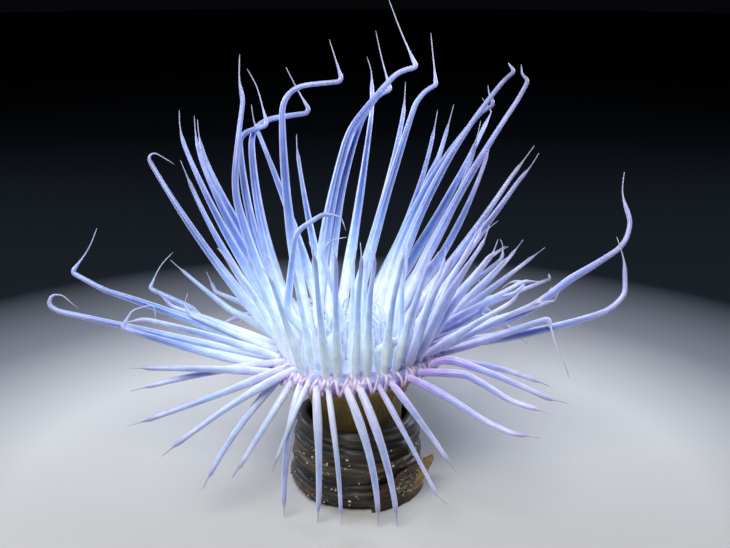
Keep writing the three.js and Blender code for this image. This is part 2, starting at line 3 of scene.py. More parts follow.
import bpy
import numpy as np
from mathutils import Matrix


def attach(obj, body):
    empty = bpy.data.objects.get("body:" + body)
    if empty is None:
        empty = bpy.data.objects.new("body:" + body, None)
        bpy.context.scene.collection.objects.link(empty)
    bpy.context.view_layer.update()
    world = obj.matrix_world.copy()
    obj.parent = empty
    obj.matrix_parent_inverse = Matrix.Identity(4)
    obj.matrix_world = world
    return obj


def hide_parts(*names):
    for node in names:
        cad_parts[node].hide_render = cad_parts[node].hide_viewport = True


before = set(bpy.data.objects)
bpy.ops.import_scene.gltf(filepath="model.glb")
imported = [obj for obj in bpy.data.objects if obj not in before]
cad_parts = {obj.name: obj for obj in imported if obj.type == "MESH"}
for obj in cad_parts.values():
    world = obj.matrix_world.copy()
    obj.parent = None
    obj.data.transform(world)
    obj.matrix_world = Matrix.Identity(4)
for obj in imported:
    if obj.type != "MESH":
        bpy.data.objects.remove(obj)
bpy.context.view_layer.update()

# Tube-dwelling anemone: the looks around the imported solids. Lengths are in millimetres until
# a mesh is made, which is in metres. One closed skin covers the flesh, from the foot to the
# tips of the tentacles, and follows the rim, roots, walks and thicknesses of the solids. The
# rim's pleats, the tube, its torn flap and the grit stuck to it are pieces of their own.

MM = 0.001

# ---- Sizes shared with the solids ----
GAP = 0.3  # clearance between pieces that meet
RIM_SLOPE = 0.1  # the crown leans: its +X side is the higher one
FLARE_FOOT = 40  # height where the column starts to widen and lean
FLARE_RISE = 20  # height over which the lean comes in
TUBE_WALL = 4.6
HEEL_RADIUS = 32  # the upright tube just above the floor
RUN_RADIUS = 18.5  # the lying tube at the heel and at its end
TAIL_RADIUS = 10
TUBE_LENGTH = 178  # reach of the lying tube behind the upright one
TUBE_SWAY = 9  # how far the lying tube bends aside
FLOOR_SINK = 0.6  # what the floor flattens off a lying round piece
COLUMN_END = TUBE_LENGTH - 22
BORE_GAP = 0.5  # room between the column's end and its tube

TENTACLES = 108
PER_SECTOR = 6
SECTOR_TURN = 20
ROOT_TURNS = np.array([3, 6, 8.8, 11.2, 14, 17])  # degrees into the sector
ROOT_RINGS = np.array([0, 2, 1])  # ring of each place in turn: outer, inner, middle
ROOT_RADII = np.array([40, 37, 33.5])
ROOT_HEIGHTS = np.array([67.5, 70.5, 71.5])
ROOT_DEPTH = 2.2  # how deep a root starts inside the rim
TENTACLE_RADIUS = 2.6  # before taper, of a tentacle of the length below
USUAL_LENGTH = 150
ROOT_SHARE = 0.66  # of that radius at the root, where they crowd
ROOT_RISE = 0.3  # place along the length where it is full
WHIP_PLACE = 0.86  # where the thin end starts, unless a sharp kink starts it
FAN_HALF_WIDTH = 33  # of the roots that stand in the fan
FAN_MIDDLE = 89  # heading of the fan's middle
FAN_SPREAD = 26  # degrees from there to its sides
SIGHT_PITCH = 22  # the front plane leans back by this, to face a viewer above the floor
MOST_BENDS = 5

# The tentacles with a pose of their own: the root's place, the length, the heading at root
# and tip, the lean at root and after it, and the bends, each with its place along the
# length, its turn and the share of length it takes.
POSED = [
    # the tall fan, from its left edge to its right one
    [52, 132, 133, 119, 0, 6, [[0.90, -150, 0.07]]],
    [44, 151, 127, 112, 15, 20, [[0.90, -18, 0.20]]],
    [41, 154, 130, 109, 18, 25, [[0.85, -12, 0.30]]],
    [38, 158, 130, 112, 20, 28, [[0.88, -14, 0.25]]],
    [47, 114, 130, 113, 10, 14, []],
    [49, 150, 115, 98, 0, 4, [[0.53, -18, 0.20], [0.84, 20, 0.06], [0.91, -11, 0.06]]],
    [46, 156, 118, 84, 5, 9, [[0.70, -72, 0.08], [0.79, 88, 0.035], [0.93, 20, 0.12]]],
    [43, 170, 116, 80, 6, 10, [[0.665, -77, 0.15], [0.835, 112, 0.04]]],
    [40, 170, 104, 84, -3, 0, [[0.71, -82, 0.16], [0.872, 104, 0.035]]],
    [35, 138, 106, 114, 14, 20, [[0.92, -15, 0.10]]],
    [32, 117, 106, 98, 16, 24, [[0.93, -6, 0.10]]],
    [37, 199, 89, 59, 4, 9, [[0.53, -18, 0.12], [0.735, -32, 0.08], [0.785, 98, 0.02]]],
    [34, 174, 92, 60, 8, 13, [[0.66, -14, 0.12], [0.75, -26, 0.05], [0.79, 79, 0.02]]],
    [31, 161, 80, 84, 14, 20, [[0.80, 8, 0.20], [0.94, 14, 0.08]]],
    [28, 165, 76, 70, 4, 8, [[0.73, -20, 0.06], [0.78, -20, 0.05], [0.82, 64, 0.02]]],
    [29, 158, 72, 80, 18, 26, [[0.85, 6, 0.10]]],
    [25, 138, 61, 73, 15, 19, [[0.66, -8, 0.06], [0.74, 10, 0.06]]],
    [26, 141, 59, 80, 20, 24, []],
    [22, 145, 77, 44, 4, 10, [[0.87, -15, 0.06], [0.925, 85, 0.04], [0.965, -20, 0.03]]],
    [19, 153, 76, 48, 0, 5, [[0.92, -8, 0.05], [0.965, 82, 0.02]]],
    [20, 129, 50, 77, 13, 18, []],
    [23, 172, 56, 65, 22, 29, [[0.93, 52, 0.03]]],
    [16, 155, 66, 54, 3, 8, [[0.86, 6, 0.05], [0.935, 70, 0.03], [0.965, -38, 0.02]]],
    [17, 123, 51, 73, 14, 20, []],
    [13, 113, 50, 58, 2, 6, [[0.80, -4, 0.10]]],
    [14, 118, 47, 56, 8, 14, [[0.83, -6, 0.08], [0.92, 8, 0.06]]],
    # the right side, from the fan down to the floor
    [9, 78, 32, 52, 15, 25, []],
    [6, 76, 36, 37, 10, 16, []],
    [10, 65, 34, 40, 0, 4, [[0.85, 50, 0.10], [0.95, 20, 0.05]]],
    [8, 46, 34, 34, 9, 9, [[0.77, 72, 0.05], [0.90, -8, 0.10]]],
    [2, 58, 47, 44, 4, 8, []],
    [3, 62, 35, 24, -9, -9, [[0.38, 28, 0.06], [0.50, -50, 0.08], [0.68, 35, 0.10],
     [0.80, 140, 0.08], [0.90, 40, 0.10]]],
    [5, 69, 26, 20, 8, 10, [[0.96, 80, 0.03]]],
    [0, 140, 16, 44, 0, 6, [[0.35, 10, 0.15], [0.50, -12, 0.10], [0.74, 42, 0.14],
     [0.82, 26, 0.06], [0.92, -30, 0.12]]],
    [107, 66, 19, 18, 2, 4, [[0.92, 50, 0.05]]],
    [105, 118, 14, 40, -6, 0, [[0.12, -12, 0.10], [0.69, 28, 0.14], [0.77, 38, 0.06],
     [0.90, 14, 0.10]]],
    [102, 80, 17, 20, -8, -4, [[0.65, -95, 0.04], [0.85, 15, 0.20], [0.95, -25, 0.10]]],
    [96, 66, 22, 10, -14, -8, [[0.14, -38, 0.20], [0.86, 14, 0.10]]],
    [99, 54, 0, -25, -6, -2, []],
    [93, 64, 0, -14, -18, -12, [[0.35, -24, 0.12], [0.70, 18, 0.15]]],
    [90, 66, -24, -44, -28, -15, [[0.60, 14, 0.20], [0.80, 20, 0.15]]],
    # the front row, which hangs to the floor before the tube
    [87, 50, 308, 304, -40, 10, []],
    [84, 64, 299, 297, -40, 16, [[0.90, 24, 0.10]]],
    [81, 74, 295, 275, -40, 35, []],
    [78, 73, 295, 270, -40, 35, []],
    [75, 71, 280, 270, -40, 35, []],
    [72, 70, 275, 265, -40, 35, []],
    [71, 48, 245, 250, -50, 10, []],
    [69, 70, 255, 270, -40, 35, []],
    [66, 52, 240, 237, -38, 8, []],
    [63, 64, 226, 244, -38, 8, []],
    # the left side, from the floor up to the fan
    [65, 70, 207, 220, -38, -8, []],
    [62, 76, 203, 198, -32, -8, []],
    [59, 70, 186, 196, -25, -6, []],
    [60, 68, 176, 180, -30, -8, []],
    [57, 98, 170, 158, -18, -4, [[0.73, -100, 0.03], [0.82, -45, 0.06], [0.92, -95, 0.05]]],
    [54, 128, 166, 168, -10, 0, [[0.81, -20, 0.04], [0.85, -75, 0.04], [0.885, -75, 0.04],
     [0.92, -38, 0.04]]],
    [51, 130, 156, 166, -6, 2, [[0.68, -12, 0.10], [0.815, -98, 0.03], [0.92, 16, 0.12]]],
    [48, 92, 160, 158, -2, 4, [[0.42, -26, 0.06], [0.52, 22, 0.06], [0.77, -86, 0.03],
     [0.90, -22, 0.15]]],
    [45, 74, 148, 141, 2, 10, [[0.30, 8, 0.15], [0.45, -10, 0.10]]],
    [42, 60, 146, 142, 5, 14, [[0.55, 14, 0.10], [0.80, -40, 0.06]]],
    [53, 57, 158, 157, -4, 0, [[0.79, -30, 0.04], [0.90, -52, 0.05]]],
    # short ones that stand close before the fan, or beside it
    [11, 70, 54, 52, 8, 14, [[0.86, -14, 0.12]]],
    [7, 62, 58, 54, -4, 2, [[0.86, 16, 0.12]]],
    [4, 60, 48, 50, 4, 8, [[0.80, -20, 0.16]]],
    [1, 62, 30, 28, -14, -10, [[0.84, -30, 0.10]]],
    [106, 58, 56, 50, -24, -14, [[0.86, 20, 0.10]]],
    [104, 62, 22, 22, -28, -18, [[0.84, 30, 0.12]]],
    [103, 60, 60, 50, -30, -18, [[0.86, -20, 0.12]]],
    [101, 64, 24, 28, -38, -24, [[0.86, -24, 0.12]]],
    [98, 60, 36, 30, -44, -28, [[0.84, 26, 0.12]]],
    [89, 68, 78, 70, -52, -36, [[0.86, -16, 0.12]]],
    [88, 54, 82, 76, -12, 0, [[0.86, 16, 0.12]]],
    [70, 56, 98, 102, -40, -30, [[0.86, -14, 0.12]]],
    [64, 58, 102, 106, -20, -6, [[0.86, 18, 0.12]]],
    [61, 60, 108, 116, -32, -20, [[0.86, -12, 0.12]]],
    [56, 78, 160, 168, -30, -16, [[0.84, 24, 0.12]]],
    [50, 70, 158, 162, 0, 4, [[0.82, -26, 0.10]]],
    # inner front ones that curl up over the disc
    [67, 94, 86, 80, -24, -10, [[0.18, 50, 0.08], [0.32, -50, 0.10], [0.70, -50, 0.12],
     [0.85, -40, 0.06], [0.93, -62, 0.06]]],
    [76, 71, 98, 110, -24, -8, [[0.22, -60, 0.06], [0.33, 62, 0.06], [0.80, -52, 0.08],
     [0.90, -50, 0.06]]],
    [85, 62, 92, 84, -43, -12, [[0.16, -62, 0.06], [0.36, 64, 0.08], [0.90, -16, 0.10]]],
]


# ---- Numbers and noise ----
def smooth(value):
    """An S-curve from 0 to 1: three squares less two cubes of the value, held to 0..1."""
    held = np.clip(value, 0, 1)
    return held * held * (3 - 2 * held)


def mix(start, end, share):
    """The value at a share of the way from start to end."""
    return start + (end - start) * share


def scatter(place, kind):
    """The even scatter of the solids, from -1 to 1."""
    return ((place * 167 + kind * 59) % 101) / 50 - 1


def ripple(points, size, seed, waves=9):
    """Soft noise from about -1 to 1: a sum of sine waves that cross the points in random
    directions, each with a length near the given size."""
    draw = np.random.default_rng(seed)
    way = unit(draw.normal(size=(waves, 3)))
    way = way * 2 * math.pi / (size * draw.uniform(0.7, 1.5, (waves, 1)))
    phase = draw.uniform(0, 2 * math.pi, waves)
    return np.sin(points @ way.T + phase).sum(axis=-1) / math.sqrt(waves * 0.8)


def fibres(turn, rise, seed, waves=26):
    """Felted fibres: a sum of sine waves that are long round the tube and short along it,
    from about -1 to 1."""
    draw = np.random.default_rng(seed)
    total = 0
    for _ in range(waves):
        around = draw.integers(1, 9)
        along = draw.uniform(0.35, 2.2)
        tilt = draw.uniform(-0.4, 0.4)
        phase = draw.uniform(0, 2 * math.pi)
        total = total + np.sin(around * turn + (along + tilt * np.sin(turn)) * rise + phase)
    return total / math.sqrt(waves / 2)


def unit(vectors):
    """The vectors at a length of one."""
    return vectors / np.linalg.norm(vectors, axis=-1, keepdims=True)


def circle(sides):
    """Even turns round a circle, in radians."""
    return 2 * np.pi * np.arange(sides) / sides


def leaned(points):
    """The crown's lean: height grows by a tenth of x, from nothing at the flare's foot."""
    rise = RIM_SLOPE * points[..., 0] * smooth((points[..., 2] - FLARE_FOOT) / FLARE_RISE)
    return points + rise[..., None] * np.array([0, 0, 1.0])


def through(corners, count):
    """A smooth curve through the corners, a Catmull-Rom spline, at even shares of its
    length."""
    corners = np.asarray(corners, float)
    last = len(corners) - 1
    p = np.vstack([2 * corners[0] - corners[1], corners, 2 * corners[-1] - corners[-2]])
    place = np.linspace(0, last, 40 * last)
    k = np.minimum(place.astype(int), last - 1)
    t = (place - k)[:, None]
    a, b, c, d = p[k], p[k + 1], p[k + 2], p[k + 3]
    curve = b + 0.5 * t * ((c - a) + t * (2 * a - 5 * b + 4 * c - d + t * (3 * b - a - 3 * c + d)))
    run = np.r_[0, np.cumsum(np.linalg.norm(np.diff(curve, axis=0), axis=1))]
    even = np.linspace(0, run[-1], count)
    return np.stack([np.interp(even, run, axis) for axis in curve.T], -1)


# ---- Meshes ----
def grid_faces(tubes, rings, sides):
    """Quads of closed tubes of rings, with a flat face over each end."""
    ring = np.arange(rings - 1)[:, None] * sides
    side = np.arange(sides)[None, :]
    a = ring + side
    b = ring + (side + 1) % sides
    quads = np.stack([a, b, b + sides, a + sides], -1).reshape(-1, 4)
    first = np.arange(sides)[::-1]
    last = (rings - 1) * sides + np.arange(sides)
    faces = []
    for tube in range(tubes):
        start = tube * rings * sides
        faces += (quads + start).tolist()
        faces += [(first + start).tolist(), (last + start).tolist()]
    return faces


def mesh_piece(name, points, faces, fields=None):
    """A mesh object from points in millimetres, with number fields on them, shaded smooth."""
    mesh = bpy.data.meshes.new(name)
    mesh.from_pydata(np.asarray(points, float).reshape(-1, 3) * MM, [], faces)
    for field, values in (fields or {}).items():
        layer = mesh.attributes.new(field, "FLOAT", "POINT")
        layer.data.foreach_set("value", np.asarray(values, np.float32).ravel())
    mesh.polygons.foreach_set("use_smooth", np.ones(len(mesh.polygons), bool))
    mesh.update()
    piece = bpy.data.objects.new(name, mesh)
    bpy.context.scene.collection.objects.link(piece)
    return piece


def tube_piece(name, points, fields=None):
    """A mesh object from points by closed tube, ring and side."""
    return mesh_piece(name, points, grid_faces(*points.shape[:3]), fields)


def combine(piece, other, operation="UNION"):
    """Joins or cuts the piece with another closed mesh, which is used up."""
    step = piece.modifiers.new("combine", "BOOLEAN")
    step.operation = operation
    step.solver = "MANIFOLD"
    step.object = other
    depsgraph = bpy.context.evaluated_depsgraph_get()
    result = bpy.data.meshes.new_from_object(piece.evaluated_get(depsgraph))
    result.materials.clear()
    result.polygons.foreach_set("use_smooth", np.ones(len(result.polygons), bool))
    piece.modifiers.clear()
    used = [piece.data, other.data]
    piece.data = result
    for mesh in used:
        bpy.data.meshes.remove(mesh)
    result.name = piece.name


def read_points(mesh):
    """The mesh's points, in metres."""
    points = np.empty(len(mesh.vertices) * 3, np.float32)
    mesh.vertices.foreach_get("co", points)
    return points.reshape(-1, 3).astype(float)


def read_field(mesh, name):
    """One of the mesh's number fields."""
    values = np.empty(len(mesh.vertices), np.float32)
    mesh.attributes[name].data.foreach_get("value", values)
    return values.astype(float)


def neighbour_mean(mesh):
    """A function that takes one number for each point to the mean over its neighbours,
    weighted by a second number."""
    edges = np.empty(len(mesh.edges) * 2, np.int32)
    mesh.edges.foreach_get("vertices", edges)
    a, b = edges.reshape(-1, 2).T
    count = len(mesh.vertices)

    def mean(values, weights):
        both = np.bincount(a, weights[b], count) + np.bincount(b, weights[a], count)
        total = values * weights
        total = np.bincount(a, total[b], count) + np.bincount(b, total[a], count)
        return total / np.maximum(both, 1e-6)

    return mean


def write_fields(mesh, columns):
    """Puts numbers back into fields that the mesh has."""
    for field, values in columns.items():
        mesh.attributes[field].data.foreach_set("value", values.astype(np.float32))


def fill_seams(mesh, fields):
    """Points that a join has made hold no numbers, so each takes its neighbours' mean."""
    made = read_field(mesh, "made")
    mean = neighbour_mean(mesh)
    known = np.where(made > 0.99, 1.0, 1e-4)
    columns = {field: read_field(mesh, field) for field in fields}
    for field, values in columns.items():
        columns[field] = np.where(made > 0.99, values, mean(values, known))
    write_fields(mesh, columns)


def even_out(mesh, pull, rounds, fields):
    """Moves each point and number towards its neighbours' mean by the given pull, in
    rounds."""
    mean = neighbour_mean(mesh)
    plain = np.ones(len(mesh.vertices))
    x, y, z = read_points(mesh).T
    columns = {"x": x, "y": y, "z": z, **{field: read_field(mesh, field) for field in fields}}
    for _ in range(rounds):
        columns = {key: mix(column, mean(column, plain), pull)
                   for key, column in columns.items()}
    points = np.stack([columns.pop(axis) for axis in "xyz"], -1)
    mesh.vertices.foreach_set("co", points.astype(np.float32).ravel())
    write_fields(mesh, columns)
    mesh.update()


# ---- Marginal tentacles: roots and walks ----
# across, up and away, seen from in front
pitch = math.radians(SIGHT_PITCH)
SIGHT = np.array([
    [1, 0, 0],
    [0, math.sin(pitch), math.cos(pitch)],
    [0, math.cos(pitch), -math.sin(pitch)],
])
places = np.arange(TENTACLES)
bearings = SECTOR_TURN * (places // PER_SECTOR) + ROOT_TURNS[places % PER_SECTOR]
root_rings = ROOT_RINGS[places % 3]
root_x = ROOT_RADII[root_rings] * np.cos(np.radians(bearings))
root_y = ROOT_RADII[root_rings] * np.sin(np.radians(bearings))
roots = np.stack([root_x, root_y, ROOT_HEIGHTS[root_rings] + RIM_SLOPE * root_x], -1)


def aim(bearing, rise):
    """Heading and lean of the direction with this bearing and rise, in degrees."""
    a, b = math.radians(bearing), math.radians(rise)
    along = SIGHT @ [math.cos(b) * math.cos(a), math.cos(b) * math.sin(a), math.sin(b)]
    return math.degrees(math.atan2(along[1], along[0])) % 360, math.degrees(math.asin(along[2]))


def habit(place):
    """The row of a tentacle with no pose of its own, as in the solids: the outer ring
    arches over the back and sinks, and the other two stand in the fan."""
    drift = [scatter(place, kind) for kind in range(7)]
    if root_rings[place] == 0:
        start = aim(bearings[place], 14 + 5 * drift[2])
        end = aim(bearings[place] + 8 * drift[3], -46 + 6 * drift[4])
        turn = (end[0] - start[0] + 540) % 360 - 180
        bends = [[0.8, 12 * drift[5], 0.2]]
        return [place, 100 + 10 * drift[1], start[0], start[0] + turn, start[1], end[1], bends]
    inner = root_rings[place] == 2
    side = root_x[place] / FAN_HALF_WIDTH
    heading = FAN_MIDDLE - FAN_SPREAD * side * abs(side) ** 0.6
    length = (60 if inner else 66) + 6 * drift[1]
    lean = (-26 if inner else -48) + 4 * drift[2]
    bends = [[0.62, 8 * drift[5], 0.3], [0.88, 22 * drift[6], 0.16]]
    end = heading + (heading - 90) * 0.35
    return [place, length, heading + 1.5 * drift[3], end, lean, lean + 14, bends]


def all_rows():
    """The numbers and the bends of every tentacle's row, with still bends to fill up."""
    posed = {row[0]: row for row in POSED}
    rows = [posed.get(place) or habit(place) for place in places.tolist()]
    still = [[9.0, 0.0, 1.0]] * MOST_BENDS
    bends = np.array([(row[6] + still)[:MOST_BENDS] for row in rows])
    return np.array([row[1:6] for row in rows], float), bends


def walk(rows, bends, steps=320):
    """Paths of all tentacles at once. The heading runs evenly from root to tip, and each
    bend adds its turn along an S-curve; the lean eases off with the cube of what is left."""
    length, start, end, lean_start, lean_end = rows.T[..., None]
    share = (np.arange(steps) + 0.5) / steps
    heading = mix(start, end, share)
    for bend in range(MOST_BENDS):
        at, turn, over = bends[:, bend].T[..., None]
        heading = heading + turn * smooth((share - at) / over + 0.5)
    lean = np.radians(mix(lean_end, lean_start, (1 - share) ** 3))
    heading = np.radians(heading)
    level = np.cos(lean)
    way = np.stack([level * np.cos(heading), level * np.sin(heading), np.sin(lean)], -1)
    path = np.cumsum(way @ SIGHT * (length / steps)[..., None], axis=1)
    return roots[:, None] + np.concatenate([path[:, :1] * 0, path], axis=1)


def whip_places(bends):
    """Where the thin end starts: at the first short sharp bend, or at the usual place."""
    sharp = (bends[..., 2] <= 0.05) & (np.abs(bends[..., 1]) >= 60)
    first = np.where(sharp, bends[..., 0], 1).min(axis=1)
    return np.where(first < 1, first, WHIP_PLACE)


def thickness(length, whip, share):
    """Radius: drawn in at the root, full at a third, an even taper, then a thin whip."""
    return (
        TENTACLE_RADIUS * (length / USUAL_LENGTH) ** 0.35
        * mix(ROOT_SHARE, 1, smooth(share / ROOT_RISE)) * (1 - 0.5 * share)
        * (1 - 0.48 * smooth((share - whip) / 0.06))
        * (1 - 0.35 * np.clip((share - whip) / (1 - whip), 0, 1))
    )


# ---- Marginal tentacles: sections and surfaces ----
RING_EVENNESS = 200  # degrees of turning that the whole length counts for by itself


def ring_shares(paths, count):
    """Shares of length for the rings: evenly spaced in length plus a part of the turning."""
    way = unit(np.diff(paths, axis=1))
    turned = np.degrees(np.arccos(np.clip((way[:, 1:] * way[:, :-1]).sum(-1), -1, 1)))
    turned = np.concatenate([turned, turned[:, :1] * 0], axis=1)
    measure = np.cumsum(RING_EVENNESS / turned.shape[1] + turned, axis=1)
    measure = np.concatenate([measure[:, :1] * 0, measure], axis=1)
    grid = np.linspace(0, 1, paths.shape[1])
    return np.array([np.interp(np.linspace(0, row[-1], count), row, grid) for row in measure])


def along_paths(paths, shares, radii, sides):
    """Round sections on the paths at the given shares. Each section's first point starts
    sideways, and the next sections turn as little as the path allows."""
    grid = np.linspace(0, 1, paths.shape[1])

    def at(values):
        return np.array([
            [np.interp(share, grid, axis) for axis in value.T]
            for share, value in zip(shares, values)
        ]).transpose(0, 2, 1)

    centres = at(paths)
    ways = unit(at(unit(np.gradient(paths, axis=1))))
    across = unit(np.cross(SIGHT[2], ways[:, 0]) + 1e-6)
    turn = circle(sides)[:, None]
    sections = []
    for centre, way, radius in zip(*(np.moveaxis(a, 1, 0) for a in (centres, ways, radii))):
        across = unit(across - (across * way).sum(-1, keepdims=True) * way)
        other = np.cross(way, across)
        out = across[:, None] * np.cos(turn) + other[:, None] * np.sin(turn)
        sections.append(centre[:, None] + out * radius[:, None, None])
    return np.stack(sections, axis=1)


# arm: 1 on a tentacle; share and reach: the place along it, as a share and in mm; low: how low
# it stands; tone: its own shade; edge: nearness to a side painted pale, a painted sheen; zone:
# place from foot to mouth
SKIN_FIELDS = ("arm", "share", "reach", "low", "tone", "edge", "zone")
RIM_ZONE = 0.66


def spread_fields(shape, **values):
    """Number fields for the skin, each stretched to the shape, with nought for the rest."""
    fields = {name: np.zeros(shape) for name in SKIN_FIELDS}
    fields["made"] = np.ones(shape)
    for name, value in values.items():
        fields[name] = np.broadcast_to(value, shape)
    return fields


TENTACLE_RINGS = 60
TENTACLE_SIDES = 10
LOW_HEIGHT = 78  # a tentacle that stays under this stands low, and is violet
LOW_BAND = 26
ROOT_SWELL = (0.52, 0.3)  # stouter than the solids at the root, in the fan and low down
SWELL_LENGTHS = (5.3, 8.9)  # wavelengths of the slow waves, over two pi
SWELL_SHARE = 0.016  # of the radius
SLENDER = (71, 75, 84)
SLENDER_SHARE = 0.72
TIP_SHARE = 0.35


def marginal_tentacles():
    """The marginal tentacles: round sections along the walks. Towards the root they are up
    to half again as stout as the solids, so that they merge, and they swell a little in
    slow waves. Whips are finer than in the solids, and a few hanging ones are slender
    throughout. The tip is drawn in, and the root starts inside the rim."""
    rows, bends = all_rows()
    paths = walk(rows, bends)
    shares = ring_shares(paths, TENTACLE_RINGS)
    length = rows[:, :1]
    low = 1 - smooth((paths[..., 2].max(axis=1) - LOW_HEIGHT) / LOW_BAND)
    whip = whip_places(bends)[:, None]
    radii = thickness(length, whip, shares)
    radii *= 1 + mix(*ROOT_SWELL, low)[:, None] * (1 - smooth(shares / 0.45))
    wave = sum(np.sin(shares * length / each + places[:, None] * each) for each in SWELL_LENGTHS)
    radii *= 1 + SWELL_SHARE * wave * smooth(shares / 0.2)
    radii *= 1 - 0.22 * smooth((shares - 0.4) / 0.4) * (1 - low[:, None])
    radii *= 1 - 0.35 * smooth((shares - whip) / 0.08)
    radii[list(SLENDER)] *= SLENDER_SHARE
    radii[:, -1] *= TIP_SHARE
    points = along_paths(paths, shares, radii, TENTACLE_SIDES)
    points[:, 0] -= ROOT_DEPTH * unit(paths[:, 1] - paths[:, 0])[:, None]
    points[..., 2] = np.maximum(points[..., 2], 0)
    thin = smooth((shares - 0.5) / 0.3)
    violet = low * mix(0.5, 1, smooth((root_x + 12) / 40))
    violet = np.maximum(violet, 0.6 * smooth((root_x - 8) / 22))
    fields = spread_fields(
        points.shape[:3],
        arm=1.0,
        share=shares[..., None],
        reach=(shares * length)[..., None],
        low=violet[:, None, None],
        tone=scatter(places, 9)[:, None, None],
        # edge paints a pale line down each side as seen from in front, a painted sheen for light
        # through the thin wall, evened out towards the tip
        edge=mix(np.cos(circle(TENTACLE_SIDES)) ** 4, 0.4, thin[..., None]),
        zone=RIM_ZONE,
    )
    return points, fields


# ---- Pleats of the rim ----
RIM_MIDDLE = (35.6, 65.9)  # radius and height of the middle of the rim's section
RIM_REACH = (5.9, 5.3)  # half its width and half its height
PLEAT_ARC = (-28, 112)  # degrees round the section, from its outside to its top
PLEAT_SLANT = 2.4  # degrees round the rim
PLEAT_RADIUS = 0.95
PLEAT_RINGS = 12
PLEAT_SIDES = 6


def rim_pleats():
    """Slanting pleats over the rim, one at each root: thin rounded ridges on an ellipse
    round the rim's section, turned one way and the next by turns, so that they meet in
    a zigzag."""
    step = np.linspace(0, 1, PLEAT_RINGS)
    round_rim = np.radians(mix(*PLEAT_ARC, step))
    slant = PLEAT_SLANT * (1 + 0.3 * scatter(places, 5)) * np.where(places % 2, 1, -1)
    slant = slant[:, None] * np.cos(np.pi * step)
    bearing = np.radians(bearings[:, None] + slant)
    r = RIM_MIDDLE[0] + RIM_REACH[0] * np.cos(round_rim)
    z = RIM_MIDDLE[1] + RIM_REACH[1] * np.sin(round_rim)
    z = np.broadcast_to(z, bearing.shape)
    paths = leaned(np.stack([r * np.cos(bearing), r * np.sin(bearing), z], -1))
    shares = np.broadcast_to(step, bearing.shape)
    radii = PLEAT_RADIUS * np.sqrt(np.sin(np.pi * mix(0.04, 0.96, step)))
    radii = radii * (1 + 0.3 * scatter(places, 6))[:, None]
    points = along_paths(paths, shares, radii, PLEAT_SIDES)
    # edge 0.9 paints the pleats pale, a painted highlight on the ridges over the darker rim
    fields = spread_fields(
        points.shape[:3], edge=0.9, zone=RIM_ZONE, tone=scatter(places, 4)[:, None, None]
    )
    return points, fields


# ---- Labial tentacles ----
LABIALS = 56
LABIAL_LENGTH = 27
LABIAL_RADII = np.array([15.6, 12.4])  # outer and inner ring
LABIAL_STEP_IN = 1.2  # of those that stand between
LABIAL_THICKNESS = 0.95
LABIAL_BASE = 69.6
LABIAL_RINGS = 14
LABIAL_SIDES = 6


def labial_tentacles():
    """The short tentacles round the mouth. Every second one has its place in the solids, and
    the rest stand between them, a little shorter. Each rises along a parabola and curls."""
    half = np.arange(LABIALS)
    place = half // 2
    between = half % 2
    bearing = (place + 0.5 + between * 0.5) * 360 / (LABIALS / 2)
    radius = LABIAL_RADII[place % 2] - LABIAL_STEP_IN * between
    share = np.linspace(0, 1, 60)
    curl = (1 + 0.25 * scatter(place, 7)) * (1 - 0.22 * between)
    rise = LABIAL_LENGTH * curl[:, None] * (share - 0.28 * share**2)
    bow = np.where(place % 2, 1, -0.6)[:, None]
    r = radius[:, None] + LABIAL_LENGTH * (0.42 * share - 0.62 * share**2) * bow
    turn = np.radians(bearing[:, None] + 10 * scatter(place, 8)[:, None] * share)
    foot = LABIAL_BASE + RIM_SLOPE * radius * np.cos(np.radians(bearing))
    paths = np.stack([r * np.cos(turn), r * np.sin(turn), foot[:, None] + rise], -1)
    shares = np.broadcast_to(np.linspace(0, 1, LABIAL_RINGS), (LABIALS, LABIAL_RINGS))
    radii = LABIAL_THICKNESS * (1 - 0.6 * shares) * (1 - 0.15 * between[:, None])
    radii[:, -1] *= 0.4
    points = along_paths(paths, shares, radii, LABIAL_SIDES)
    points[:, 0, :, 2] -= ROOT_DEPTH
    # their short reach gives them mostly the near-white of the painted glow
    fields = spread_fields(
        points.shape[:3],
        arm=1.0,
        share=0.8 * shares[..., None],
        reach=LABIAL_LENGTH * shares[..., None],
        low=0.25,
        tone=scatter(half, 9)[:, None, None],
        zone=0.9,
    )
    return points, fields


# ---- Column, rim and disc ----
BODY_PROFILE = [
    (0, 6.2), (12, 6.2), (18.6, 7.2), (21.2, 12), (21.4, 22), (21.4, 33), (21.5, 38),
    (22.1, 43), (23.4, 48), (26, 53), (30, 57.2), (34.2, 60.2), (37.8, 62), (40.4, 64),
    (41.7, 66.6), (41.2, 69), (39.6, 70.5), (37, 71.2), (33.6, 71.4), (31.2, 71), (29, 70),
    (26, 69.1), (21, 68.6), (18, 69), (16.4, 69.7), (13.6, 69.9), (11, 69.4), (9, 69.2),
    (7.2, 69.6), (6, 69.2), (5, 67.6), (3.6, 66), (2, 65.2), (0, 64.9),
]
BODY_AROUND = 216
BODY_UP = 94
COLUMN_FURROWS = 54
DISC_FURROWS = 72
SHOWN_HEIGHT = 36  # below this the column stands in its tube


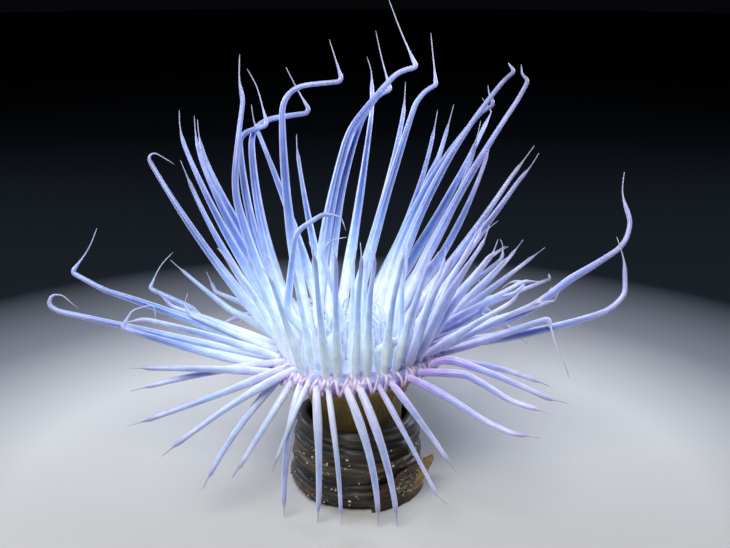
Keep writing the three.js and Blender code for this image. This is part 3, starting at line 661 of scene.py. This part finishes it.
def body_surface():
    """Column, rim and disc: a profile turned about Z. Furrows run up the column and across
    the disc, and fine rings cross the column."""
    profile = through(BODY_PROFILE, BODY_UP)
    profile[[0, -1], 0] = 0.12
    turn = circle(BODY_AROUND)
    way = unit(np.gradient(profile, axis=0))
    r, z = profile.T[..., None]
    out_r, out_z = way[:, 1:], -way[:, :1]
    zone = np.linspace(0, 1, BODY_UP)[:, None]
    disc = smooth((zone - 0.7) / 0.05) * smooth((r - 6) / 10)
    shown = smooth((z - SHOWN_HEIGHT) / 6)
    column = shown * (1 - smooth((zone - 0.56) / 0.08))
    folds = np.abs(np.sin(turn * COLUMN_FURROWS / 2)) ** 0.6 * column * 0.5
    rays = np.abs(np.sin(turn * DISC_FURROWS / 2)) ** 0.6 * disc * 0.45
    rings = 0.14 * np.sin(z * 2.6 + 1.5 * np.sin(turn * 3)) * column
    flat = np.stack([r * np.cos(turn), r * np.sin(turn), z + 0 * turn], -1)
    lumps = 0.25 * ripple(flat, 9, 3) * shown
    height = rings + lumps - folds - rays
    points = np.stack([
        (r + out_r * height) * np.cos(turn), (r + out_r * height) * np.sin(turn),
        z + out_z * height,
    ], -1)
    # edge paints the disc paler on its ridges, a painted highlight, and leaves its furrows darker,
    # a painted shade
    fields = spread_fields((1,) + points.shape[:2], zone=zone, edge=0.4 * disc - rays)
    return leaned(points)[None], fields


def run_centre(y):
    """Sideways place of the lying tube: a sine, whose turn is a power of the length."""
    return TUBE_SWAY * np.sin((np.pi * np.clip(y / TUBE_LENGTH, 0, 1)) ** 1.4)


def run_radius(y):
    """Radius of the lying tube, which narrows from the heel to its end."""
    share = np.clip((y - HEEL_RADIUS) / (TUBE_LENGTH - HEEL_RADIUS), 0, 1)
    return mix(RUN_RADIUS, TAIL_RADIUS, share**1.3)


def lying(start, end, inset, rings, sides, rough=0):
    """The lying length of tube or column: round rings on the floor, with a blunt end. A
    rough one is ringed and fibrous but keeps its flat line on the floor."""
    y = mix(start, end, 1 - (1 - np.linspace(0, 1, rings)) ** 1.5)[:, None]
    into_end = np.clip((y - end + run_radius(end)) / run_radius(end), 0, 1)
    radius = (run_radius(y) - inset) * np.sqrt(np.maximum(0.004, 1 - into_end**2))
    turn = circle(sides)
    skin = 0.4 * fibres(turn, y, 8) + 0.4 * np.sin(y * 0.9 + 1.4 * np.sin(turn * 2))
    radius = radius + rough * skin * smooth(radius / 6)
    x = run_centre(y) + radius * np.sin(turn)
    z = run_radius(y) - FLOOR_SINK + radius * np.cos(turn)
    if rough:
        z = np.maximum(z, 0)
    return np.stack([x, y + 0 * turn, z], -1)[None]


FOOT_START = 8
FOOT_RINGS = 40
FOOT_SIDES = 32
EVEN_PULL = 0.45
EVEN_ROUNDS = 3
ROOT_REACH = 2.2  # distance from a root that is evened out in full
ROOT_BAND = 3
MOUTH_REACH = 19
MOUTH_HEIGHTS = (60, 72)


def flesh():
    """The animal's skin: body, foot and all tentacles joined into one closed surface, then
    evened out round the roots and the mouth."""
    skin = tube_piece("anemone_skin", *body_surface())
    foot = lying(FOOT_START, COLUMN_END, TUBE_WALL + GAP, FOOT_RINGS, FOOT_SIDES)
    parts = [("foot", (foot, spread_fields(foot.shape[:3]))),
             ("tentacles", marginal_tentacles()), ("labials", labial_tentacles())]
    for name, (points, fields) in parts:
        combine(skin, tube_piece(name, points, fields))
        fill_seams(skin.data, SKIN_FIELDS)
    points = read_points(skin.data) / MM
    gap = np.full(len(points), np.inf)
    for root in roots:
        gap = np.minimum(gap, np.linalg.norm(points - root, axis=1))
    near_root = 1 - smooth((gap - ROOT_REACH) / ROOT_BAND)
    from_axis = np.linalg.norm(points[:, :2], axis=1)
    under, over = MOUTH_HEIGHTS
    near_mouth = (from_axis < MOUTH_REACH) * (points[:, 2] > under) * (points[:, 2] < over)
    pull = EVEN_PULL * np.maximum(near_root, near_mouth)
    even_out(skin.data, pull, EVEN_ROUNDS, SKIN_FIELDS)
    return skin


# ---- Tube, grit and flap ----
TUBE_PROFILE = [
    (0, 0.3), (16, 0.3), (25, 0.4), (30, 1.6), (32, 6), (31, 11), (30.6, 13.5), (31.4, 17),
    (30.4, 21.5), (29.7, 24), (30.3, 27), (28.8, 30.5), (28.9, 34), (28, 36.6), (26.4, 37.8),
    (24.6, 38), (23.7, 37.2), (23, 34.5), (22.6, 30), (22.5, 18), (21, 6), (12, 5), (0, 5),
]
PROFILE_POINTS = 400
TUBE_AROUND = 260
TUBE_UP = 150
OUTER_SHARE = 0.6  # of the profile's length, up to the mouth's edge
RUN_START = 20
RUN_RINGS = 110
RUN_SIDES = 120
HOLLOW_START = 10
HOLLOW_RINGS = 40
HOLLOW_SIDES = 40


def tube_outside(turn, share):
    """Points on the upright tube at a turn about Z and a share of its profile's length: the
    profile pushed in and out by rings of dried slime and by fibres on the outside."""
    profile = through(TUBE_PROFILE, PROFILE_POINTS)
    profile[[0, -1], 0] = 0.2
    even = np.linspace(0, 1, PROFILE_POINTS)
    way = unit(np.gradient(profile, axis=0))
    r, z, way_r, way_z = (np.interp(share, even, column)
                          for column in (*profile.T, *way.T))
    outside = (share < OUTER_SHARE) * smooth((r - 24) / 4) * smooth((z - 0.5) / 2)
    bands = 0.34 * np.sin(z * 1.9 + 1.2 * np.sin(turn * 2 + 0.7) + 0.8 * np.sin(turn * 5))
    height = (bands + 0.3 * fibres(turn, z, 5)) * outside
    reach = r + way_z * height
    return np.stack([
        reach * np.cos(turn), reach * np.sin(turn), np.maximum(z - way_r * height, 0.05),
    ], -1)


def tube():
    """The tube: the upright part joined with the length that lies on the floor, and both
    hollowed along the lying length."""
    share = np.linspace(0, 1, TUBE_UP)[:, None]
    turn = circle(TUBE_AROUND) + 0 * share
    piece = tube_piece("felted_tube", tube_outside(turn, share)[None])
    run = lying(RUN_START, TUBE_LENGTH, 0, RUN_RINGS, RUN_SIDES, rough=1)
    combine(piece, tube_piece("run", run))
    hollow_end = COLUMN_END + BORE_GAP
    hollow = lying(HOLLOW_START, hollow_end, TUBE_WALL, HOLLOW_RINGS, HOLLOW_SIDES)
    combine(piece, tube_piece("hollow", hollow), "DIFFERENCE")
    return piece


FLAP_TURNS = (-78, -6)  # degrees about Z, from its left edge to its right one
FLAP_HEIGHT = 26
FLAP_RADIUS = 32.9
FLAP_LEAN = 8
FLAP_THICKNESS = (1.0, 0.35)  # at the floor and at the top
FLAP_ROWS = 60
FLAP_COLUMNS = 150


def flap_face(share, rise, inset):
    """Points on the flap at a share across and a rise from the floor: its height follows a
    flattened sine across it, and it leans out with the height's power of 1.4. The inset
    draws it in towards the tube."""
    turn = np.radians(mix(*FLAP_TURNS, share))
    arch = np.sin(np.pi * mix(0.06, 0.94, share)) ** 0.6
    rag = 0.98 + 0.012 * np.sin(share * 61) + 0.014 * np.sin(share * 143 + 1)
    lean = FLAP_LEAN * arch * rise**1.4 + 0.4 * np.sin(share * 26 + rise * 3) * rise
    r = FLAP_RADIUS + lean + 0.12 * fibres(turn * 4, rise * FLAP_HEIGHT, 12) - inset
    z = FLAP_HEIGHT * arch * rise * rag + 0.05
    return np.stack([r * np.cos(turn), r * np.sin(turn), z + 0 * turn], -1)


def flap():
    """The loose outer layer at the tube's right: a leaf bowed outwards with a ragged top,
    whose inner face lies within the outer one, closer towards the top. It is painted amber to the
    right and above the floor, a painted glow of light coming through it."""
    share = np.linspace(0, 1, FLAP_COLUMNS)[None, :]
    rise = np.linspace(0, 1, FLAP_ROWS)[:, None]
    insets = (0, mix(*FLAP_THICKNESS, rise))
    points = np.stack([flap_face(share, rise, inset) for inset in insets])
    count = FLAP_ROWS * FLAP_COLUMNS
    index = np.arange(count).reshape(FLAP_ROWS, FLAP_COLUMNS)
    quads = np.stack([index[:-1, :-1], index[:-1, 1:], index[1:, 1:], index[1:, :-1]], -1)
    quads = quads.reshape(-1, 4)
    edge = np.concatenate([index[0, :-1], index[:-1, -1], index[-1, :0:-1], index[:0:-1, 0]])
    after = np.roll(edge, -1)
    rim = np.stack([edge, edge + count, after + count, after], -1)
    faces = np.concatenate([quads, quads[:, ::-1] + count, rim])
    # painted glow of light through the flap, to the right and above the floor
    painted_backlight = smooth((share - 0.42) / 0.2) * smooth((rise - 0.08) / 0.2)
    return mesh_piece("torn_flap", points, faces.tolist(), {"painted_backlight": np.stack([painted_backlight] * 2)})


GRAINS = 900
HEEL_GRAINS = 420
CLUMP_GRAINS = 200
GRAIN_RADII = (0.3, 0.85)
GOLDEN = (1 + math.sqrt(5)) / 2
GRAIN_CORNERS = unit(np.array([
    (-1, GOLDEN, 0), (1, GOLDEN, 0), (-1, -GOLDEN, 0), (1, -GOLDEN, 0),
    (0, -1, GOLDEN), (0, 1, GOLDEN), (0, -1, -GOLDEN), (0, 1, -GOLDEN),
    (GOLDEN, 0, -1), (GOLDEN, 0, 1), (-GOLDEN, 0, -1), (-GOLDEN, 0, 1),
]))
GRAIN_FACES = np.array([
    (0, 11, 5), (0, 5, 1), (0, 1, 7), (0, 7, 10), (0, 10, 11), (1, 5, 9), (5, 11, 4),
    (11, 10, 2), (10, 7, 6), (7, 1, 8), (3, 9, 4), (3, 4, 2), (3, 2, 6), (3, 6, 8),
    (3, 8, 9), (4, 9, 5), (2, 4, 11), (6, 2, 10), (8, 6, 7), (9, 8, 1),
])


def grit():
    """Sand grains caught in the felt: twenty-sided lumps, each stretched at random, crowded
    round the heel and in a clump on the flap, and thin along the lying length."""
    draw = np.random.default_rng(31)
    turn = draw.uniform(0, 2 * math.pi, HEEL_GRAINS)
    low_down = tube_outside(turn, mix(0.2, 0.47, draw.random(HEEL_GRAINS) ** 2.2))
    share = draw.normal(0.37, 0.07, CLUMP_GRAINS)
    clump = flap_face(share, draw.normal(0.55, 0.16, CLUMP_GRAINS), -0.1)
    y = draw.uniform(HEEL_RADIUS, TUBE_LENGTH - 8, GRAINS - HEEL_GRAINS - CLUMP_GRAINS)
    side = draw.choice([-1, 1], len(y)) * draw.uniform(0.2, 2.3, len(y))
    x = run_centre(y) + run_radius(y) * np.sin(side)
    z = run_radius(y) - FLOOR_SINK + run_radius(y) * np.cos(side)
    centres = np.concatenate([low_down, clump, np.stack([x, y, z], -1)])
    size = mix(*GRAIN_RADII, draw.random((GRAINS, 1, 1)) ** 2)
    stretch = draw.uniform(0.7, 1.25, (GRAINS, 1, 3))
    jitter = draw.uniform(0.85, 1.15, (GRAINS, len(GRAIN_CORNERS), 1))
    points = centres[:, None] + GRAIN_CORNERS * size * stretch * jitter
    points[..., 2] = np.maximum(points[..., 2], 0.02)
    offsets = len(GRAIN_CORNERS) * np.arange(GRAINS)[:, None, None]
    tone = np.broadcast_to(draw.random((GRAINS, 1)), points.shape[:2])
    faces = (GRAIN_FACES + offsets).reshape(-1, 3).tolist()
    piece = mesh_piece("caught_sand_grains", points, faces, {"tone": tone})
    piece.data.polygons.foreach_set("use_smooth", np.zeros(len(piece.data.polygons), bool))
    return piece


# ---- Colour and nodes ----
def paint(code):
    """A hex sRGB colour as linear red, green, blue and alpha."""
    parts = [int(code[k:k + 2], 16) / 255 for k in (1, 3, 5)]
    return [c / 12.92 if c <= 0.04045 else ((c + 0.055) / 1.055) ** 2.4 for c in parts] + [1]


def add(tree, kind, inputs=None, ramp=(), **settings):
    """Adds a node and returns its outputs. Inputs are numbers, hex colours or the outputs
    that feed them, and a ramp is a list of places and colours."""
    node = tree.nodes.new(kind)
    for name, value in settings.items():
        setattr(node, name, value)
    for key, value in (inputs or {}).items():
        if isinstance(value, bpy.types.NodeSocket):
            tree.links.new(value, node.inputs[key])
        else:
            node.inputs[key].default_value = paint(value) if isinstance(value, str) else value
    for _ in ramp[2:]:
        node.color_ramp.elements.new(1)
    for k, (place, colour) in enumerate(ramp):
        node.color_ramp.elements[k].position = place
        node.color_ramp.elements[k].color = paint(colour)
    return node.outputs


def new_material(name, **finish):
    """A material with its shader's own sockets set, its node tree and its shader."""
    material = bpy.data.materials.new(name)
    material.use_nodes = True
    shader = material.node_tree.nodes["Principled BSDF"]
    for key, value in finish.items():
        shader.inputs[key.replace("_", " ")].default_value = value
    return material, material.node_tree, shader


# ---- Materials ----
def flesh_material():
    """Living flesh, wet and half clear: light scatters in it, a film of water lies on it,
    and its sides are painted paler, a painted sheen for the thin wall seen along its length."""
    material, tree, shader = new_material(
        "wet_translucent_flesh", Roughness=0.36, IOR=1.38, Subsurface_Weight=0.7,
        Subsurface_Scale=0.005, Subsurface_Radius=(0.8, 0.85, 1.0), Sheen_Weight=0.35,
        Sheen_Roughness=0.3, Sheen_Tint=paint("#F2ECFF"), Coat_Weight=0.15,
        Coat_Roughness=0.2,
    )
    arm, share, reach, low, tone, edge, zone = (
        add(tree, "ShaderNodeAttribute", attribute_name=name)["Fac"] for name in SKIN_FIELDS
    )
    # the fan's colours run over its first 150 mm; the near-white where the flesh is thick and
    # crowded is a painted glow of light scattered through it
    run = add(tree, "ShaderNodeMath", {0: reach, 1: 150.0}, operation="DIVIDE")[0]
    fan_core = add(tree, "ShaderNodeValToRGB", {0: run}, ramp=[
        (0.0, "#E6F6FF"), (0.13, "#D6EBFD"), (0.27, "#92B0E6"), (0.4, "#587AC2"),
        (0.58, "#3853A2"), (0.85, "#5C76C8"), (1.0, "#98A6E4"),
    ])[0]
    # pale colours for the sides: painted sheen, the brighter edges that a thin clear wall shows
    fan_painted_sheen = add(tree, "ShaderNodeValToRGB", {0: run}, ramp=[
        (0.0, "#F8FEFF"), (0.27, "#E6F0FF"), (0.6, "#D8E2FF"), (1.0, "#DFE2FC"),
    ])[0]
    low_core = add(tree, "ShaderNodeValToRGB", {0: share}, ramp=[
        (0.0, "#AE8ED8"), (0.15, "#988AD4"), (0.45, "#8F9CD8"), (0.8, "#A49ED0"),
        (1.0, "#B4A8C0"),
    ])[0]
    # edge mixes the painted pale sides over the core of the fan and of the low ones
    fan = add(tree, "ShaderNodeMix", {0: edge, 6: fan_core, 7: fan_painted_sheen}, data_type="RGBA")[2]
    hung = add(tree, "ShaderNodeMix", {0: edge, 6: low_core, 7: "#E8E2FA"}, data_type="RGBA")[2]
    arms = add(tree, "ShaderNodeMix", {0: low, 6: fan, 7: hung}, data_type="RGBA")[2]
    whip = add(tree, "ShaderNodeMapRange", {0: share, 1: 0.78, 2: 0.95, 3: 0.0, 4: 0.85})[0]
    arms = add(tree, "ShaderNodeMix", {0: whip, 6: arms, 7: "#777288"}, data_type="RGBA")[2]
    # from the foot to the mouth; the disc's near-white blue is a painted glow of light scattered
    # through it
    body = add(tree, "ShaderNodeValToRGB", {0: zone}, ramp=[
        (0.0, "#54451F"), (0.4, "#6B5A2C"), (0.5, "#8A7636"), (0.57, "#A08C5A"),
        (0.6, "#6E5088"), (0.65, "#6F55A4"), (0.7, "#A0AEE0"), (0.78, "#CADCF4"),
        (0.92, "#D4E4F6"), (1.0, "#6A4C70"),
    ])[0]
    # edge paints the pleats and the disc's ridges pale: a painted highlight
    body_with_painted_highlight = add(tree, "ShaderNodeMix", {0: edge, 6: body, 7: "#DCC8F2"}, data_type="RGBA")[2]
    colour = add(tree, "ShaderNodeMix", {0: arm, 6: body_with_painted_highlight, 7: arms}, data_type="RGBA")[2]
    # cloudy patches about 5 mm across, and streaks along the tentacles
    place = add(tree, "ShaderNodeTexCoord")["Object"]
    cloud = add(tree, "ShaderNodeTexNoise", {"Vector": place, "Scale": 200.0, "Detail": 3.0})[0]
    strand = add(tree, "ShaderNodeCombineXYZ", {
        0: add(tree, "ShaderNodeMath", {0: edge, 1: 4.0}, operation="MULTIPLY")[0],
        1: add(tree, "ShaderNodeMath", {0: reach, 1: 0.03}, operation="MULTIPLY")[0],
        2: add(tree, "ShaderNodeMath", {0: tone, 1: 9.0}, operation="MULTIPLY")[0],
    })[0]
    streak = add(tree, "ShaderNodeTexNoise", {"Vector": strand, "Scale": 1.0, "Detail": 2.0})[0]
    shade = add(tree, "ShaderNodeMath", {
        0: add(tree, "ShaderNodeMapRange", {0: cloud, 1: 0.3, 2: 0.7, 3: 0.86, 4: 1.08})[0],
        1: add(tree, "ShaderNodeMapRange", {0: streak, 1: 0.3, 2: 0.7, 3: 0.84, 4: 1.1})[0],
    }, operation="MULTIPLY")[0]
    colour = add(tree, "ShaderNodeVectorMath", {0: colour, "Scale": shade},
                 operation="SCALE")[0]
    tree.links.new(colour, shader.inputs["Base Color"])
    # cross wrinkles about 2 mm apart, coarser than life so that they show
    along = add(tree, "ShaderNodeCombineXYZ", {0: reach, 1: tone, 2: edge})[0]
    wrinkle = add(tree, "ShaderNodeTexNoise", {"Vector": along, "Scale": 0.5, "Detail": 0.0})[0]
    bump = add(tree, "ShaderNodeBump", {"Height": wrinkle, "Strength": 0.2, "Distance": 0.0003})
    tree.links.new(bump[0], shader.inputs["Normal"])
    return material


def felt_material():
    """Slime and spent stinging threads felted with mud, set like wet leather: ringed in
    darker and lighter browns, with long fibres round it."""
    material, tree, shader = new_material(
        "mud_felted_slime", Roughness=0.6, IOR=1.45, Coat_Weight=0.12, Coat_Roughness=0.3,
    )
    place = add(tree, "ShaderNodeTexCoord")["Object"]
    # fibres about 15 mm long and 2 mm wide
    squeezed = add(tree, "ShaderNodeMapping", {"Vector": place, "Scale": (65.0, 65.0, 460.0)})[0]
    strand = add(tree, "ShaderNodeTexNoise",
                 {"Vector": squeezed, "Scale": 1.0, "Detail": 7.0, "Distortion": 0.9})[0]
    colour = add(tree, "ShaderNodeValToRGB", {0: strand}, ramp=[
        (0.28, "#100F0D"), (0.42, "#221F19"), (0.52, "#373025"), (0.62, "#4F4534"),
        (0.76, "#746A55"),
    ])[0]
    height = add(tree, "ShaderNodeSeparateXYZ", {0: place})[2]
    level = add(tree, "ShaderNodeMath", {0: height, 1: 25.0}, operation="MULTIPLY")[0]
    band = add(tree, "ShaderNodeValToRGB", {0: level}, ramp=[
        (0.0, "#9A9A9A"), (0.08, "#F2F0EA"), (0.2, "#E0DCD2"), (0.27, "#7E8282"),
        (0.36, "#8A8C8A"), (0.45, "#FFF6E6"), (0.66, "#F4EADA"), (0.74, "#777B7C"),
        (0.84, "#C9C6BC"), (0.97, "#7A7872"),
    ])[0]
    colour = add(tree, "ShaderNodeMix", {0: 1.0, 6: colour, 7: band}, data_type="RGBA",
                 blend_type="MULTIPLY")[2]
    tree.links.new(colour, shader.inputs["Base Color"])
    bump = add(tree, "ShaderNodeBump", {"Height": strand, "Strength": 0.7, "Distance": 0.0009})
    tree.links.new(bump[0], shader.inputs["Normal"])
    return material


def sand_material():
    """Grains of quartz and shell, each of one colour from dark grey to cream."""
    material, tree, shader = new_material("quartz_and_shell_sand", Roughness=0.5, IOR=1.54)
    tone = add(tree, "ShaderNodeAttribute", attribute_name="tone")["Fac"]
    colour = add(tree, "ShaderNodeValToRGB", {0: tone}, ramp=[
        (0.0, "#26231F"), (0.3, "#57503F"), (0.6, "#877B5C"), (0.85, "#B5AB8B"),
        (1.0, "#D8D2BE"),
    ])[0]
    place = add(tree, "ShaderNodeTexCoord")["Object"]
    # specks about 0.4 mm across
    speck = add(tree, "ShaderNodeTexNoise", {"Vector": place, "Scale": 2500.0})[0]
    shade = add(tree, "ShaderNodeMapRange", {0: speck, 1: 0.35, 2: 0.65, 3: 0.8, 4: 1.1})[0]
    colour = add(tree, "ShaderNodeVectorMath", {0: colour, "Scale": shade},
                 operation="SCALE")[0]
    tree.links.new(colour, shader.inputs["Base Color"])
    return material


def flap_material():
    """A thin torn layer of the same felt: dark with mud, and painted amber to the right and
    above the floor, a painted glow of light coming through it."""
    material, tree, shader = new_material(
        "thin_felt_with_painted_backlight", Roughness=0.5, IOR=1.45, Subsurface_Weight=0.3,
        Subsurface_Scale=0.002, Subsurface_Radius=(1.0, 0.6, 0.25),
    )
    place = add(tree, "ShaderNodeTexCoord")["Object"]
    # fibres about 11 mm long and 1.5 mm wide
    squeezed = add(tree, "ShaderNodeMapping", {"Vector": place, "Scale": (90.0, 90.0, 650.0)})[0]
    strand = add(tree, "ShaderNodeTexNoise",
                 {"Vector": squeezed, "Scale": 1.0, "Detail": 5.0, "Distortion": 0.6})[0]
    muddy = add(tree, "ShaderNodeValToRGB", {0: strand}, ramp=[
        (0.3, "#1A1009"), (0.5, "#33200F"), (0.65, "#553A1E"),
    ])[0]
    # amber colours of the painted glow of light through the thin felt
    clear = add(tree, "ShaderNodeValToRGB", {0: strand}, ramp=[
        (0.3, "#5E4616"), (0.5, "#92742C"), (0.65, "#BC9E50"),
    ])[0]
    painted_backlight = add(tree, "ShaderNodeAttribute", attribute_name="painted_backlight")["Fac"]
    colour = add(tree, "ShaderNodeMix", {0: painted_backlight, 6: muddy, 7: clear}, data_type="RGBA")[2]
    tree.links.new(colour, shader.inputs["Base Color"])
    bump = add(tree, "ShaderNodeBump", {"Height": strand, "Strength": 0.4, "Distance": 0.0005})
    tree.links.new(bump[0], shader.inputs["Normal"])
    return material


# ---- Pieces of the part ----
FLESH_NODES = ("crown_", "tentacle_", "oral_disc", "labials_", "column_")


def dress(piece, material, slot, *nodes):
    """Gives a piece its material and its body, and hides the solids that it stands for. The slot
    is not used.
    """
    piece.data.materials.append(material)
    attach(piece, "root")
    if nodes:
        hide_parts(*nodes)


flesh_nodes = [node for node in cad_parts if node.startswith(FLESH_NODES)]
wet_flesh = flesh_material()
felted_tube = tube()
dress(flesh(), wet_flesh, "tentacles", *flesh_nodes)
dress(tube_piece("rim_pleats", *rim_pleats()), wet_flesh, "tentacles")
dress(felted_tube, felt_material(), "tube", "tube_upright", "tube_run", "tube_tail")
dress(flap(), flap_material(), "flap", "tube_flap")
dress(grit(), sand_material(), "tube")


# ---- Stage, light and camera ----
FLOOR_RADIUS = 4000
FLOOR_DROP = 0.1  # under the part's lowest point
# places of the lights and the camera, from here on, are in metres
AIM = (0, 0, 0.1)
LAMP_SIZE = 0.5
KEY_WATTS = 16
BACK_WATTS = 14


def floor_disc():
    """A flat disc of floor, pale round the part and darker far from it: a painted pool of light.
    """
    turn = circle(128)
    x, y = FLOOR_RADIUS * np.cos(turn), FLOOR_RADIUS * np.sin(turn)
    rim = np.stack([x, y, 0 * turn - FLOOR_DROP], -1)
    disc = mesh_piece("floor", rim, [list(range(len(turn)))])
    material, tree, shader = new_material("matt_floor_painted_light_pool", Roughness=1.0,
                                           Specular_IOR_Level=0.0)
    place = add(tree, "ShaderNodeTexCoord")["Object"]
    reach = add(tree, "ShaderNodeVectorMath", {0: place}, operation="LENGTH")["Value"]
    # painted pool of light: pale near the part, falling to dark far out
    colour = add(tree, "ShaderNodeValToRGB", {0: reach}, ramp=[
        (0.17, "#A9A8A4"), (0.27, "#626467"), (0.38, "#131619"), (1.0, "#07090B"),
    ])[0]
    tree.links.new(colour, shader.inputs["Base Color"])
    disc.data.materials.append(material)


def soft_light(name, place, watts, colour):
    """A square soft box that faces the part and isn't itself seen."""
    lamp = bpy.data.lights.new(name, "AREA")
    lamp.energy = watts
    lamp.size = LAMP_SIZE
    lamp.color = paint(colour)[:3]
    light = bpy.data.objects.new(name, lamp)
    light.location = place
    x, y, z = np.array(place) - np.array(AIM)
    light.rotation_euler = (math.atan2(math.hypot(x, y), z), 0, math.atan2(x, -y))
    light.visible_camera = False
    bpy.context.scene.collection.objects.link(light)


def world_light():
    """A dim room all round."""
    world = bpy.data.worlds.new("dim_room")
    world.use_nodes = True
    back = world.node_tree.nodes["Background"]
    back.inputs["Color"].default_value = paint("#0B0E12")
    back.inputs["Strength"].default_value = 0.5
    bpy.context.scene.world = world


PICTURE = (730, 548)  # picture elements across and down
LENS = 50  # mm, and the sensor's width
SENSOR = 36
CAMERA_PLACE = np.array([0, -0.4469, 0.2506])
CAMERA_PITCH = 17.88
RIM_CENTRE = np.array([0, 0, 0.07])
RIM_PIXEL = (357, 347)


def camera():
    """The camera, shifted a little so that the rim's centre falls on its pixel."""
    data = bpy.data.cameras.new("camera")
    data.lens = LENS
    data.sensor_width = SENSOR
    eye = bpy.data.objects.new("camera", data)
    eye.location = CAMERA_PLACE
    tilt = math.radians(CAMERA_PITCH)
    eye.rotation_euler = (math.pi / 2 - tilt, 0, 0)
    right, away, up = RIM_CENTRE - CAMERA_PLACE
    depth = away * math.cos(tilt) - up * math.sin(tilt)
    rise = away * math.sin(tilt) + up * math.cos(tilt)
    focal = LENS / SENSOR
    data.shift_x = focal * right / depth + 0.5 - RIM_PIXEL[0] / PICTURE[0]
    data.shift_y = focal * rise / depth + (RIM_PIXEL[1] - PICTURE[1] / 2) / PICTURE[0]
    bpy.context.scene.collection.objects.link(eye)
    bpy.context.scene.camera = eye


floor_disc()
world_light()
soft_light("key", (-0.2, -0.65, 0.95), KEY_WATTS, "#FFFFFF")
soft_light("left_back", (-0.8, 0.55, 0.6), BACK_WATTS, "#DCE6FF")
soft_light("right_back", (0.8, 0.55, 0.6), BACK_WATTS, "#DCE6FF")
camera()
bpy.context.scene.view_settings.view_transform = "Standard"
